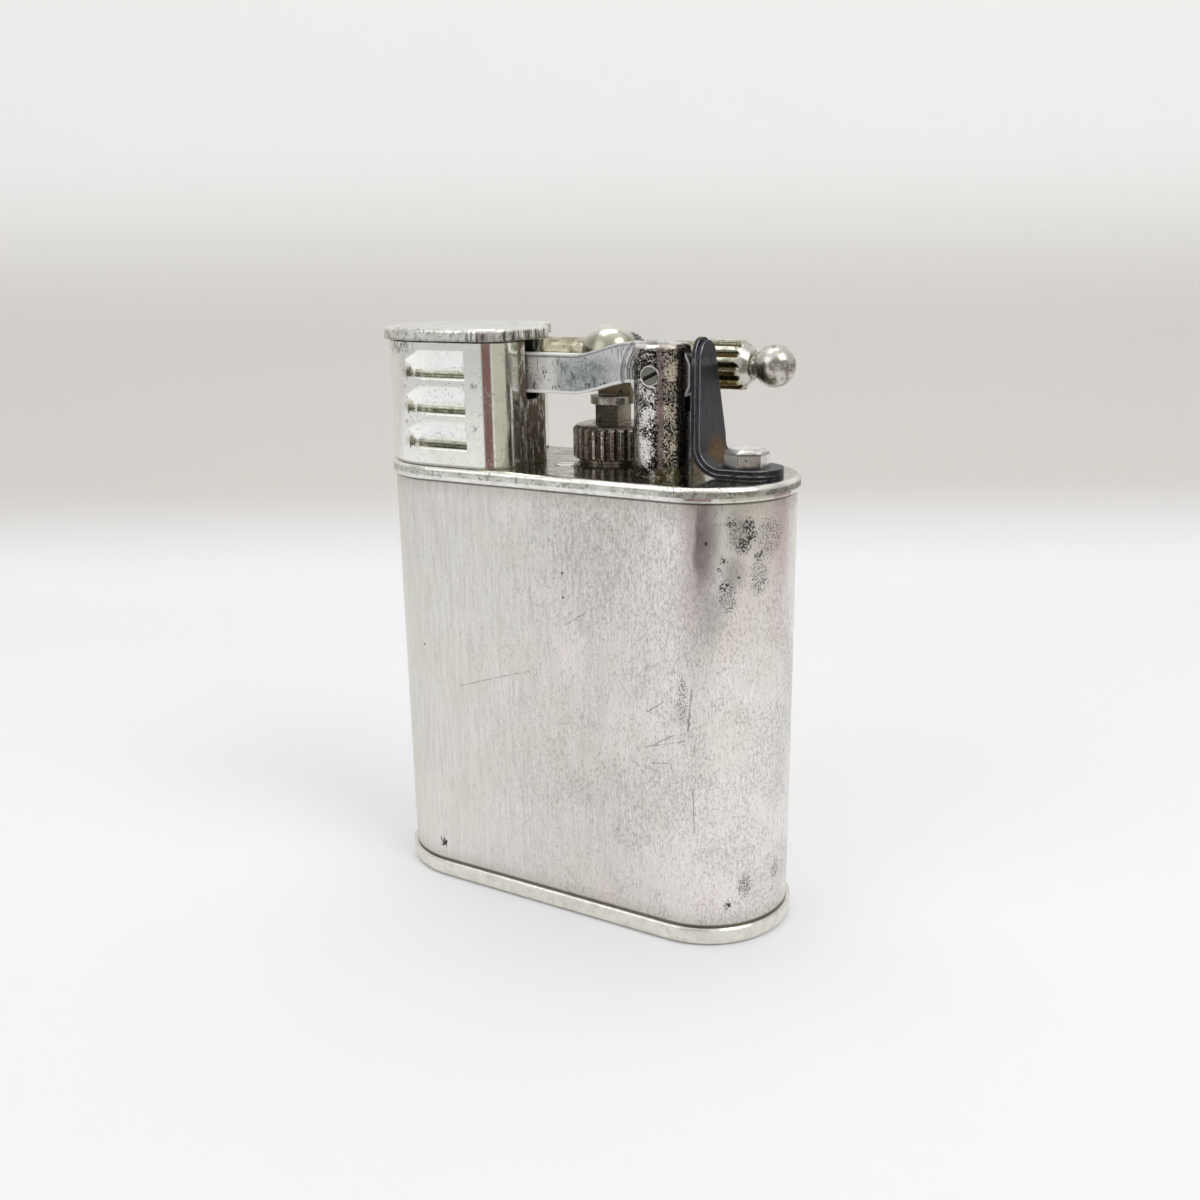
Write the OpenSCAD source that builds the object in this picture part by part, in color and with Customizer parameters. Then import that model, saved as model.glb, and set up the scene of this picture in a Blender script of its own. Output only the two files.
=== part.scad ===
// Petrol pocket lighter with a lift arm and a louvred windguard.
// Millimetres. Origin at the bottom centre of the base, +X to the arm's pivot, +Y to the back, +Z up.

/* [Case] */
// Length of the case wall
case_l = 40.3; // [39:0.1:46]
// Depth of the case wall
case_d = 15.4; // [15:0.1:18]
// Height of the top plate's flat face over the table
plate_top = 41.55; // [34:0.05:60]
// Sheet thickness of the case wall
case_t = 0.6; // [0.4:0.05:1]
// Height of the polished rim round the base
base_h = 1.7; // [1.5:0.05:2.6]
// How far the base rim stands proud of the wall
base_proud = 0.3; // [0.1:0.05:0.6]
// Thickness of the top plate
plate_t = 1.25; // [1:0.05:2]
// How far the top plate stands proud of the wall
plate_proud = 0.25; // [0.1:0.05:0.6]
// Height of the rounded shoulder on the top plate
shoulder_h = 0.4; // [0.2:0.05:0.7]

/* [Windguard] */
// Height of the windguard over the plate
guard_h = 11.05; // [9.8:0.05:14]
// Sheet thickness of the windguard
guard_t = 0.45; // [0.3:0.05:0.6]
// Gap from the wall's line to the windguard
guard_inset = 0; // [0:0.05:0.3]
// Length of the windguard's front part
guard_l = 16; // [15.4:0.1:16.3]
// Length of the windguard's rear part, which ends beside the striker
guard_rear_l = 11.55; // [10.9:0.05:12.1]
// Place of the front part's back wall
guard_step_y = 0.6; // [0.4:0.1:1]
// Radius of the front right corner
guard_corner = 2.7; // [1.5:0.1:3]
// Number of louvres in a row
louvre_n = 3; // [1:1:3]
// Spacing of the louvres
louvre_pitch = 3.15; // [2.9:0.05:3.25]
// Height of one louvre
louvre_h = 2.6; // [1.5:0.05:2.7]
// Length of a front louvre
louvre_l = 7.5; // [4:0.1:8]
// Length of a rear louvre
louvre_rear_l = 4.4; // [3:0.1:5]
// How deep the lower edge of a louvre is pressed in
louvre_dip = 0.9; // [0.6:0.05:1.1]

/* [Snuffer] */
// Thickness of the cap over the windguard
cap_t = 1.1; // [0.8:0.05:1.6]
// Overhang of the cap
cap_over = 0.45; // [0.2:0.05:0.8]
// Rounding of the cap's upper edge
cap_round = 0.35; // [0.1:0.05:0.6]
// Gap between the cap and the windguard
cap_gap = 0.15; // [0.1:0.05:0.4]
// Bore radius of the snuffer cup
cup_bore = 1.9; // [1.8:0.05:2]
// Wall of the snuffer cup
cup_t = 0.5; // [0.3:0.05:0.7]
// Radius of the wick
wick_r = 1.1; // [0.8:0.05:1.2]
// Wall of the wick tube
wick_tube_t = 0.3; // [0.2:0.05:0.4]
// Height of the wick tube over the plate
wick_tube_h = 6; // [4.5:0.1:6.5]
// Place of the wick across the depth
wick_y = 2.4; // [2:0.1:2.6]

/* [Lift arm] */
// Distance of the arm's pivot from the right end of the case
pivot_inset = 11.05; // [10.15:0.05:11.55]
// Height of the pivot over the plate
pivot_h = 8.5; // [8.2:0.05:8.8]
// Place of the arm's middle plane across the depth
arm_y = -2.2; // [-2.5:0.1:-2]
// Thickness of the strap
arm_t = 1.8; // [1.4:0.05:2]
// Height of the strap
arm_h = 3.45; // [2.8:0.05:3.6]
// How far the strap rises in its bend
arm_rise = 1.2; // [0.6:0.05:1.4]
// Thickness of the tongue in the column's slot
tongue_t = 1; // [0.7:0.05:1.2]
// Radius of the hub that the spring bears on
hub_r = 2.95; // [2.7:0.05:3]

/* [Column and spring] */
// Radius of the front column
column_r = 2.45; // [2.3:0.05:2.55]
// Height of the front column over the plate
column_h = 11.05; // [10.6:0.05:11.6]
// Radius of the pivot screw's shank
pivot_r = 0.55; // [0.4:0.05:0.7]
// Thickness of one spring leaf
leaf_t = 0.38; // [0.25:0.01:0.5]
// Width of the spring's foot
leaf_w = 5.3; // [4.6:0.1:5.4]
// Width of the spring's rounded upper end
leaf_top_w = 3.1; // [2.8:0.1:4]
// Place of the spring's upper end across the depth
leaf_top_y = -1.2; // [-1.5:0.1:-0.9]
// Height of the spring over the plate
leaf_h = 11.6; // [10:0.1:13]
// Inner radius of the spring's bend
leaf_bend = 1.9; // [1.2:0.1:2.4]
// Length of the spring's foot beyond the blade
foot_l = 7.2; // [6.6:0.1:7.4]
// Place of the spring's middle across the depth
leaf_y = -0.2; // [-0.5:0.1:0]
// Width across the flats of the spring screw
hex_w = 3.4; // [3:0.1:3.8]

/* [Striker and flint] */
// Place of the striker wheel along the case
wheel_x = 1.4; // [1.2:0.05:1.6]
// Height of the wheel's axle over the line of the flint
wheel_rise = 0.85; // [0.7:0.05:1.1]
// Radius of the striker wheel
wheel_r = 1.8; // [1.7:0.05:2]
// Width of the striker wheel
wheel_w = 1.5; // [1.2:0.05:1.7]
// Teeth on the striker wheel
wheel_teeth = 30; // [20:1:40]
// Radius of the domed thumb piece
dome_r = 2.7; // [2.3:0.05:2.75]
// Radius of the axle
axle_r = 0.55; // [0.4:0.05:0.7]
// Distance of the flint's line from the rear face of the case
tube_inset = 2.4; // [2.3:0.05:2.5]
// How far the spark tube stays under the windguard's upper edge
spark_drop = 0.15; // [0.1:0.05:0.4]
// Length of the flint tube
tube_l = 6.05; // [5.6:0.05:6.5]
// Outer radius of the flint tube
tube_r = 2; // [1.8:0.05:2.1]
// Radius of the flint
flint_r = 1.25; // [1:0.05:1.3]
// Radius of the fluted barrel
barrel_r = 2.2; // [2:0.05:2.3]
// Length of the fluted barrel
barrel_l = 3.7; // [3:0.1:4.5]
// Flutes round the barrel
barrel_flutes = 12; // [8:1:16]
// Radius of the ball on the flint screw
ball_r = 1.86; // [1.4:0.02:2]
// Radius of the spark tube
spark_r = 2.1; // [1.9:0.05:2.1]
// Radius of the knurled collar
collar_r = 3.75; // [3.2:0.05:3.8]
// Height of the knurled collar
collar_h = 3.1; // [2:0.1:3.3]
// Grooves round the collar
collar_grooves = 26; // [18:1:36]
// Width of the square part of the wheel standard
square_w = 2.4; // [2:0.05:2.7]

/* [Filler] */
// Place of the filler screw along the base
filler_x = 0; // [-8:0.5:8]
// Radius of the filler screw's head
filler_head_r = 3.9; // [3.4:0.1:5]
// Radius of the filler screw's neck
filler_neck_r = 2.6; // [2:0.1:3]

/* [Fits] */
// Radial gap of a shaft that turns in its bore
run_gap = 0.05; // [0.02:0.01:0.1]
// Gap between sliding faces
face_gap = 0.1; // [0.05:0.01:0.15]
// Radial gap of a part that is fixed in its hole
seat_gap = 0.02; // [0.01:0.01:0.04]

/* [Hidden] */
$fn = 64;
eps = 0.01;

// Case outline
end_r = case_d / 2;
end_c = case_l / 2 - end_r;
plate_z = plate_top - plate_t;
spigot_h = 1.5;
spigot_t = 0.6;
spigot_r = end_r - case_t - seat_gap;

// Windguard outline
guard_r = end_r - guard_inset;
guard_left = -end_c - guard_r;
guard_right = guard_left + guard_l;
guard_step_x = guard_left + guard_rear_l;
guard_top = plate_top + guard_h;
step_corner = 1.2;
rear_corner = 0.9;
louvre_mid_x = guard_right - 7;
louvre_rear_x = -end_c;
louvre_low = 1.45;
louvre_web = 0.36;
louvre_tail = 0.4;
louvre_round = 0.55;
slot_gap = 0.25;
slot_drop = 0.7;
slot_round = 0.45;

// Snuffer and wick
cap_z = guard_top + cap_gap;
wick_x = -end_c + 0.1;
tube_wick_r = wick_r + seat_gap + wick_tube_t;
wick_tube_top = plate_top + wick_tube_h;
wick_tip = 0.8;
cup_low = 0.7;
cup_room = 3.9;
cup_bottom = wick_tube_top - cup_low;
cup_inner_top = cup_bottom + cup_room;
cup_roof = 0.6;
cup_post_r = 1.2;
pad_t = 0.6;

// Arm and column
pivot_x = case_l / 2 - pivot_inset;
pivot_z = plate_top + pivot_h;
arm_left = wick_x + cup_bore + 0.9;
arm_drop = 0.25;
stem_w = 3;
bend_x0 = pivot_x - 8.6;
bend_x1 = pivot_x - 2.6;
column_top = plate_top + column_h;
rivet_r = 1.1;
rivet_l = plate_t + 1;
arm_z0 = pivot_z - arm_drop;
shoulder_r = norm([column_r, column_h - pivot_h]) + face_gap;
pivot_head_r = pivot_r + 0.2;
pivot_head_t = 0.48;
slot_w = 0.34;
head_slot = 0.22;

// Spring
blade_x = pivot_x + hub_r + run_gap;
screw_off = 4;
screw_x = blade_x + screw_off;
screw_shank_r = 0.9;
hex_h = 1.55;
hex_turn = 30;
blade_foot = 3;
leaf_step = 0.25;
leaf_gap = 0.06;
foot_top = plate_top + 2 * leaf_t + leaf_gap;

// Plate screw
plug_x = -1;
plug_y = -1.7;
plug_r = 1.1;

// Striker and flint
tube_h = guard_h - spark_drop - spark_r;
wheel_h = tube_h + wheel_rise;
tube_y = end_r - tube_inset;
wheel_z = plate_top + wheel_h;
tube_z = plate_top + tube_h;
wheel_off = 2.6;
standard_y = tube_y - wheel_off;
wheel_y0 = tube_y - wheel_w / 2;
cheek_t = 1.6;
cheek_y0 = wheel_y0 - face_gap - cheek_t;
dome_back = cheek_y0 - face_gap;
dome_cut = 0.35;
dome_y = dome_back - dome_cut;
nut_r = 1.3;
nut_t = 0.63;
tooth_h = 0.22;
wheel_room = 0.35;
tube_x0 = wheel_x + wheel_r + wheel_room;
tube_x1 = tube_x0 + tube_l;
plain_bore = 2.5;
thread_x = tube_x0 + plain_bore;
thread_r = min(flint_r + 0.25, tube_r - 0.3);
rear_x = tube_x1 - tube_r - 0.2;
barrel_x = tube_x1 + face_gap;
barrel_end = barrel_x + barrel_l;
tip_l = 0.8;
neck_l = 0.5;
neck_r = 0.95;
flute_r = 0.36;
ball_x = barrel_end + tip_l + neck_l + ball_r * 0.8;
spark_t = 0.4;
spark_end = 0.9;
spark_x0 = guard_step_x - guard_t;
spark_x1 = wheel_x - dome_r - spark_end;
flint_back = 0.4;
eye_r = 1.7;
flint_x0 = wheel_x + eye_r + face_gap;
flint_x1 = thread_x - flint_back;
plunger_t = 0.5;
plunger_pin = 0.4;
plunger_r = 0.35;
spring_well = 0.9;

// Coil of the flint spring
coil_r = 0.62;
coil_wire = 0.11;
coil_turns = 5;
coil_x0 = flint_x1 + plunger_t + seat_gap + coil_wire;
coil_x1 = tube_x1 - spring_well - coil_wire;

// Standard and collar
washer_h = 0.35;
collar_z = plate_top + washer_h;
shank_r = 1.9;
flange_t = 0.7;
flange_r = 2.1;
dome_gap = 1;
square_top = wheel_z - dome_r - dome_gap - flange_t;
groove_r = 0.32;

// Filler
filler_head_t = 0.75;
filler_low = 0.15;
filler_slot = 1.1;
washer_t = 0.3;
boss_top = 4.2;
boss_t = 1;
packing_gap = 0.3;
wick_low = boss_top + 8;

// Holes through the top plate as x, y and the radius of what sits in them
plate_holes =
    [[wick_x, wick_y, tube_wick_r], [pivot_x, arm_y, rivet_r], [rear_x, tube_y, rivet_r],
     [wheel_x, standard_y, shank_r], [screw_x, leaf_y, screw_shank_r], [plug_x, plug_y, plug_r]];

// Points of an arc in a plane, from angle a0 to a1
function arc(cx, cy, r, a0, a1, n = 8) =
    [for (i = [0:n]) [cx + r * cos(a0 + (a1 - a0) * i / n), cy + r * sin(a0 + (a1 - a0) * i / n)]];
function flip(pts) = [for (i = [len(pts) - 1:-1:0]) [-pts[i][0], pts[i][1]]];
// Smooth step from 0 to 1
function ease(t) = let (u = min(max(t, 0), 1)) u * u * (3 - 2 * u);
// Middle height of the strap at x
function arm_mid(x) = arm_z0 + arm_rise * ease((x - bend_x0) / (bend_x1 - bend_x0));

// Plain forms
// Outline of the case at a given end radius
module case_outline(r) {
    square([2 * end_c, 2 * r], center = true);
    for (s = [-1, 1])
        translate([s * end_c, 0]) circle(r);
}

// Solid with the case's outline whose edge follows a profile of radius and height
module case_form(profile) {
    for (s = [-1, 1])
        translate([s * end_c, 0, 0]) rotate_extrude() polygon(profile);
    rotate([90, 0, 90])
        linear_extrude(2 * end_c, center = true) polygon(concat(profile, flip(profile)));
}

// Cylinder along X from x0 to x1
module rod_x(x0, x1, r, y = 0, z = 0) {
    translate([x0, y, z]) rotate([0, 90, 0]) cylinder(h = x1 - x0, r = r);
}

// Cylinder along Y from y0 to y1
module rod_y(y0, y1, r, x = 0, z = 0) {
    translate([x, y0, z]) rotate([-90, 0, 0]) cylinder(h = y1 - y0, r = r);
}

// Profile in X and Z pressed out along Y about the middle y
module plate_xz(y, t) {
    translate([0, y + t / 2, 0]) rotate([90, 0, 0]) linear_extrude(t) children();
}

// Box from one corner to the other
module box(a, b) {
    translate(a) cube(b - a);
}

// Case
module case_shell() {
    color([0.74, 0.73, 0.71])
        translate([0, 0, base_h]) linear_extrude(plate_z - base_h)
            difference() {
                case_outline(end_r);
                case_outline(end_r - case_t);
            }
}

module base_plate() {
    rim = end_r + base_proud;
    round_r = 0.55;
    profile = concat([[0, 0]], arc(rim - round_r, round_r, round_r, -90, 0),
                     [[rim, base_h - 0.12], [rim - 0.12, base_h], [spigot_r, base_h],
                      [spigot_r, base_h + spigot_h], [spigot_r - spigot_t, base_h + spigot_h],
                      [spigot_r - spigot_t, base_h], [0, base_h]]);
    color([0.82, 0.81, 0.78])
        difference() {
            union() {
                case_form(profile);
                translate([filler_x, 0, base_h - eps])
                    cylinder(h = boss_top - base_h, r = filler_neck_r + boss_t);
            }
            translate([filler_x, 0, -1]) cylinder(h = boss_top + 2, r = filler_neck_r + run_gap);
            translate([filler_x, 0, -1])
                cylinder(h = 1 + filler_low + filler_head_t + washer_t + seat_gap, r = filler_head_r + 0.2);
        }
}

module top_plate() {
    rim = end_r + plate_proud;
    inset = 0.55;
    spigot_in = spigot_r - spigot_t;
    profile = concat([[0, plate_z], [spigot_in, plate_z], [spigot_in, plate_z - spigot_h],
                      [spigot_r, plate_z - spigot_h], [spigot_r, plate_z], [rim, plate_z]],
                     [for (i = [0:6]) [rim - inset + inset * cos(15 * i),
                                       plate_top - shoulder_h + shoulder_h * sin(15 * i)]],
                     [[0, plate_top]]);
    color([0.62, 0.60, 0.57])
        difference() {
            case_form(profile);
            for (h = plate_holes)
                translate([h[0], h[1], plate_z - 2]) cylinder(h = plate_t + 4, r = h[2] + seat_gap);
        }
}

module tank_packing() {
    low = boss_top + packing_gap;
    high = plate_z - spigot_h - 0.5;
    color([0.9, 0.87, 0.8])
        difference() {
            translate([0, 0, low]) linear_extrude(high - low) case_outline(end_r - case_t - packing_gap);
            translate([wick_x, wick_y, wick_low - packing_gap]) cylinder(h = plate_z, r = wick_r + 0.1);
        }
}

module wick() {
    color([0.86, 0.8, 0.66])
        translate([wick_x, wick_y, wick_low]) cylinder(h = wick_tube_top + wick_tip - wick_low, r = wick_r);
}

module wick_tube() {
    color([0.75, 0.6, 0.35])
        translate([wick_x, wick_y, 0])
            difference() {
                union() {
                    translate([0, 0, plate_z - 0.4])
                        cylinder(h = wick_tube_top - plate_z + 0.4, r = tube_wick_r);
                    translate([0, 0, plate_top]) cylinder(h = 0.5, r = tube_wick_r + 0.7);
                }
                translate([0, 0, plate_z - 1]) cylinder(h = guard_top, r = wick_r + seat_gap);
            }
}

// Block of the guard's plan with rounded right corners, front radius ra and rear radius rb
module corner_block(x0, x1, y0, y1, ra, rb) {
    m = max(ra, rb);
    translate([x0, y0]) square([x1 - m - x0, y1 - y0]);
    translate([x1 - m - eps, y0 + ra]) square([m + eps, y1 - rb - y0 - ra]);
    translate([x1 - m - eps, y0]) square([m - ra + eps, ra + eps]);
    translate([x1 - m - eps, y1 - rb - eps]) square([m - rb + eps, rb + eps]);
    translate([x1 - ra, y0 + ra]) circle(ra);
    translate([x1 - rb, y1 - rb]) circle(rb);
}

// Left half of a circle about the case's left end
module round_end(r) {
    intersection() {
        translate([-end_c, 0]) circle(r);
        translate([-end_c - r - 1, -r - 1]) square([r + 1 + eps, 2 * r + 2]);
    }
}

// Plan of the windguard, drawn in by a given amount
module guard_plan(o) {
    r = guard_r - o;
    round_end(r);
    corner_block(-end_c, guard_step_x - o, 0, r, 0.1, rear_corner - o);
    corner_block(-end_c, guard_right - o, -r, guard_step_y - o, guard_corner - o, step_corner - o);
}

// Opening of one louvre, through a wall whose outer face is on y = 0, with its lower left corner rounded
module louvre_cut(l) {
    translate([0, guard_t + 0.6, 0]) rotate([90, 0, 0]) linear_extrude(guard_t + 1.1)
        union() {
            translate([louvre_round - l / 2, 0]) square([l - louvre_round, louvre_h]);
            translate([-l / 2, louvre_round]) square([l, louvre_h - louvre_round]);
            translate([louvre_round - l / 2, louvre_round]) circle(louvre_round);
        }
}

// Pressed panel of one louvre, going in to +y and down behind its lower lip
module louvre_panel(l) {
    steps = 8;
    t = louvre_web;
    curve = [for (i = [0:steps]) [louvre_dip * ease(i / steps), louvre_h * (1 - i / steps) + 0.05]];
    face = concat(curve, [[louvre_dip, -louvre_tail]]);
    back = [for (i = [steps + 1:-1:0]) face[i] + [t, 0]];
    translate([-l / 2, 0, 0]) rotate([90, 0, 90]) linear_extrude(l) polygon(concat(face, back));
    for (x = [-l / 2, l / 2 - t])
        translate([x, 0, 0]) rotate([90, 0, 90])
            linear_extrude(t) polygon(concat([[0, louvre_h]], face, [[0, 0.05]]));
    translate([louvre_round - l / 2, guard_t / 2, 0]) rotate([0, 90, 0])
        cylinder(h = l - louvre_round, r = guard_t / 2, $fn = 24);
}

// Every louvre of one wall, at side -1 in front and 1 at the back
module louvres(side, x) {
    for (i = [0:louvre_n - 1])
        translate([x, side * guard_r, plate_top + louvre_low + i * louvre_pitch])
            scale([1, -side, 1]) children();
}

// Slot for the arm in the right wall, open at the top and rounded at the bottom
module arm_slot() {
    half = arm_t / 2 + slot_gap;
    low = arm_z0 - arm_h / 2 - slot_drop;
    x0 = guard_right - 1;
    x1 = guard_right + 1;
    box([x0, arm_y - half, low + slot_round], [x1, arm_y + half, guard_top + 1]);
    box([x0, arm_y - half + slot_round, low], [x1, arm_y + half - slot_round, low + slot_round + eps]);
    for (s = [-1, 1])
        rod_x(x0, x1, slot_round, arm_y + s * (half - slot_round), low + slot_round);
}

module windguard() {
    color([0.82, 0.81, 0.79])
        union() {
            difference() {
                translate([0, 0, plate_top]) linear_extrude(guard_h)
                    difference() {
                        guard_plan(0);
                        guard_plan(guard_t);
                    }
                louvres(-1, louvre_mid_x) louvre_cut(louvre_l);
                louvres(1, louvre_rear_x) louvre_cut(louvre_rear_l);
                arm_slot();
                rod_x(guard_step_x - 2, guard_step_x + 2, spark_r + seat_gap, tube_y, tube_z);
            }
            intersection() {
                translate([0, 0, plate_top]) linear_extrude(guard_h) guard_plan(0);
                union() {
                    louvres(-1, louvre_mid_x) louvre_panel(louvre_l);
                    louvres(1, louvre_rear_x) louvre_panel(louvre_rear_l);
                }
            }
        }
}

module spark_tube() {
    color([0.7, 0.69, 0.64])
        difference() {
            rod_x(spark_x0, spark_x1, spark_r, tube_y, tube_z);
            rod_x(spark_x0 - 1, spark_x1 + 1, spark_r - spark_t, tube_y, tube_z);
        }
}

// One convex part of the snuffer cap, rounded at its upper edge
module cap_slab() {
    steps = 4;
    hull()
        for (i = [0:steps]) {
            a = 90 * i / steps;
            h = cap_t - cap_round + cap_round * sin(a);
            linear_extrude(h) offset(r = cap_over - cap_round * (1 - cos(a)), $fn = 32) children();
        }
}

module snuffer_cap() {
    color([0.8, 0.79, 0.77])
        translate([0, 0, cap_z])
            union() {
                cap_slab() {
                    union() {
                        round_end(guard_r, $fn = 48);
                        corner_block(-end_c, guard_step_x, 0, guard_r, 0.1, rear_corner, $fn = 24);
                    }
                }
                cap_slab() {
                    corner_block(-end_c, guard_right, -guard_r, guard_step_y, guard_corner,
                                 step_corner, $fn = 24);
                }
            }
}

module snuffer_cup() {
    color([0.72, 0.71, 0.68])
        translate([wick_x, wick_y, 0])
            difference() {
                union() {
                    translate([0, 0, cup_bottom]) cylinder(h = cup_room + cup_roof, r = cup_bore + cup_t);
                    translate([0, 0, cup_inner_top]) cylinder(h = cap_z - cup_inner_top, r = cup_post_r);
                }
                translate([0, 0, cup_bottom - 1]) cylinder(h = cup_room + 1, r = cup_bore);
            }
}

module snuffer_pad() {
    color([0.45, 0.33, 0.22])
        translate([wick_x, wick_y, cup_inner_top - pad_t]) cylinder(h = pad_t, r = cup_bore - seat_gap);
}

// Side view of the strap
module strap_profile() {
    n = 24;
    xs = [for (i = [0:n]) arm_left + (pivot_x - arm_left) * i / n];
    top = [for (x = xs) [x, arm_mid(x) + arm_h / 2]];
    low = [for (i = [n:-1:0]) [xs[i], arm_mid(xs[i]) - arm_h / 2]];
    polygon(concat(top, low));
}

// Round hub with a flat on top and one at the spring's side
module hub_profile() {
    flat = hub_r - 0.12;
    difference() {
        translate([pivot_x, pivot_z]) circle(hub_r);
        translate([pivot_x + flat, pivot_z - 1.1]) square([hub_r, 2.2]);
        translate([pivot_x - 1.1, pivot_z + flat]) square([2.2, hub_r]);
    }
}

module lift_arm() {
    color([0.76, 0.75, 0.73])
        difference() {
            union() {
                plate_xz(arm_y, arm_t)
                    difference() {
                        strap_profile();
                        translate([pivot_x, pivot_z]) circle(shoulder_r);
                    }
                plate_xz(arm_y, tongue_t)
                    union() {
                        intersection() {
                            strap_profile();
                            translate([pivot_x, pivot_z]) circle(shoulder_r + 0.3);
                            translate([pivot_x - 10, pivot_z - 10]) square([10, 20]);
                        }
                        hub_profile();
                    }
                plate_xz(arm_y, arm_t)
                    translate([arm_left, arm_z0]) square([stem_w, cap_z - arm_z0]);
            }
            rod_y(arm_y - 3, arm_y + 3, pivot_r + run_gap, pivot_x, pivot_z);
        }
}

module front_column() {
    color([0.6, 0.57, 0.53])
        difference() {
            union() {
                translate([pivot_x, arm_y, plate_top])
                    rotate_extrude() polygon([[0, 0], [column_r, 0], [column_r, column_h - 0.2],
                                              [column_r - 0.2, column_h], [0, column_h]]);
                translate([pivot_x, arm_y, plate_z - 0.3]) cylinder(h = rivet_l, r = rivet_r);
            }
            box([pivot_x - 4, arm_y - tongue_t / 2 - run_gap, pivot_z - hub_r - 0.2],
                [pivot_x + 4, arm_y + tongue_t / 2 + run_gap, column_top + 1]);
            rod_y(arm_y - 4, arm_y + column_r - 0.5, pivot_r + seat_gap, pivot_x, pivot_z);
            rod_y(arm_y - 4, arm_y - column_r + pivot_head_t + 0.07, pivot_head_r + seat_gap,
                  pivot_x, pivot_z);
        }
}

module pivot_screw() {
    y0 = arm_y - column_r + 0.05;
    color([0.66, 0.63, 0.55])
        difference() {
            union() {
                rod_y(y0, y0 + pivot_head_t, pivot_head_r, pivot_x, pivot_z);
                rod_y(y0, arm_y + column_r - 0.6, pivot_r, pivot_x, pivot_z);
            }
            translate([pivot_x, y0, pivot_z]) rotate([0, -25, 0])
                box([-2, -1, -slot_w / 2], [2, head_slot, slot_w / 2]);
        }
}

// One leaf of the spring, k = 0 outside and 1 inside
module spring_leaf(k) {
    x0 = blade_x + k * (leaf_t + leaf_gap);
    z0 = plate_top + k * (leaf_t + leaf_gap);
    r_out = leaf_bend + leaf_t + (1 - k) * (leaf_t + leaf_gap);
    top = plate_top + leaf_h - k * leaf_step;
    tip = blade_x + foot_l;
    cx = x0 + r_out;
    cz = z0 + r_out;
    top_r = leaf_top_w / 2;
    top_y = leaf_top_y - leaf_y;
    difference() {
        union() {
            intersection() {
                union() {
                    box([x0, leaf_y - leaf_w, cz], [x0 + leaf_t, leaf_y + leaf_w, top + 1]);
                    intersection() {
                        rod_y(leaf_y - leaf_w, leaf_y + leaf_w, r_out, cx, cz);
                        box([x0 - 1, leaf_y - leaf_w, z0 - 1], [cx + eps, leaf_y + leaf_w, cz + eps]);
                    }
                }
                translate([x0 - 1, leaf_y, 0]) rotate([90, 0, 90]) linear_extrude(r_out + 2)
                    union() {
                        polygon([[-leaf_w / 2, plate_top - 1], [leaf_w / 2, plate_top - 1],
                                 [leaf_w / 2, plate_top + blade_foot], [top_y + top_r, top - top_r],
                                 [top_y - top_r, top - top_r], [-leaf_w / 2, plate_top + blade_foot]]);
                        translate([top_y, top - top_r]) circle(top_r);
                    }
            }
            translate([0, 0, z0]) linear_extrude(leaf_t)
                union() {
                    translate([cx, leaf_y - leaf_w / 2]) square([tip - leaf_w / 2 - cx, leaf_w]);
                    translate([tip - leaf_w / 2, leaf_y]) circle(leaf_w / 2);
                }
        }
        rod_y(leaf_y - leaf_w, leaf_y + leaf_w, r_out - leaf_t, cx, cz);
        translate([screw_x, leaf_y, plate_top - 1]) cylinder(h = 3, r = screw_shank_r + run_gap);
    }
}

module spring_leaf_outer() {
    color([0.16, 0.17, 0.2]) spring_leaf(0);
}

module spring_leaf_inner() {
    color([0.2, 0.21, 0.24]) spring_leaf(1);
}

module spring_screw() {
    corner_r = hex_w / 2 / cos(30);
    color([0.84, 0.83, 0.8])
        translate([screw_x, leaf_y, foot_top])
            union() {
                intersection() {
                    rotate([0, 0, hex_turn]) cylinder(h = hex_h, r = corner_r, $fn = 6);
                    cylinder(h = hex_h, r1 = corner_r + hex_h * 0.9, r2 = corner_r - 0.45);
                    cylinder(h = hex_h, r = corner_r);
                }
                translate([0, 0, -plate_t - 1.2]) cylinder(h = plate_t + 1.3, r = screw_shank_r);
            }
}

module plate_screw() {
    color([0.72, 0.7, 0.66])
        translate([plug_x, plug_y, 0])
            difference() {
                translate([0, 0, plate_z - 0.4]) cylinder(h = plate_t + 0.45, r = plug_r);
                translate([0, 0, plate_top]) rotate([0, 0, 20]) cube([3, 0.3, 0.5], center = true);
            }
}

module rear_column() {
    color([0.62, 0.59, 0.55])
        difference() {
            union() {
                translate([rear_x, tube_y, plate_top]) cylinder(h = tube_h, r = tube_r);
                translate([rear_x, tube_y, plate_z - 0.3]) cylinder(h = rivet_l, r = rivet_r);
            }
            rod_x(rear_x - 5, rear_x + 5, tube_r + seat_gap, tube_y, tube_z);
        }
}

module flint_tube() {
    color([0.7, 0.66, 0.55])
        difference() {
            rod_x(tube_x0, tube_x1, tube_r, tube_y, tube_z);
            rod_x(tube_x0 - 1, tube_x1, flint_r + run_gap, tube_y, tube_z);
            rod_x(thread_x, tube_x1 + 1, thread_r + run_gap, tube_y, tube_z);
        }
}

module flint() {
    color([0.35, 0.35, 0.36])
        difference() {
            rod_x(flint_x0, flint_x1, flint_r, tube_y, tube_z);
            rod_y(tube_y - wheel_w - 1, tube_y + wheel_w + 1, wheel_r + face_gap, wheel_x, wheel_z);
        }
}

module flint_plunger() {
    color([0.78, 0.62, 0.35])
        union() {
            rod_x(flint_x1 + seat_gap, flint_x1 + plunger_t, flint_r - run_gap, tube_y, tube_z);
            rod_x(flint_x1 + seat_gap, flint_x1 + plunger_t + plunger_pin, plunger_r, tube_y, tube_z);
        }
}

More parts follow.
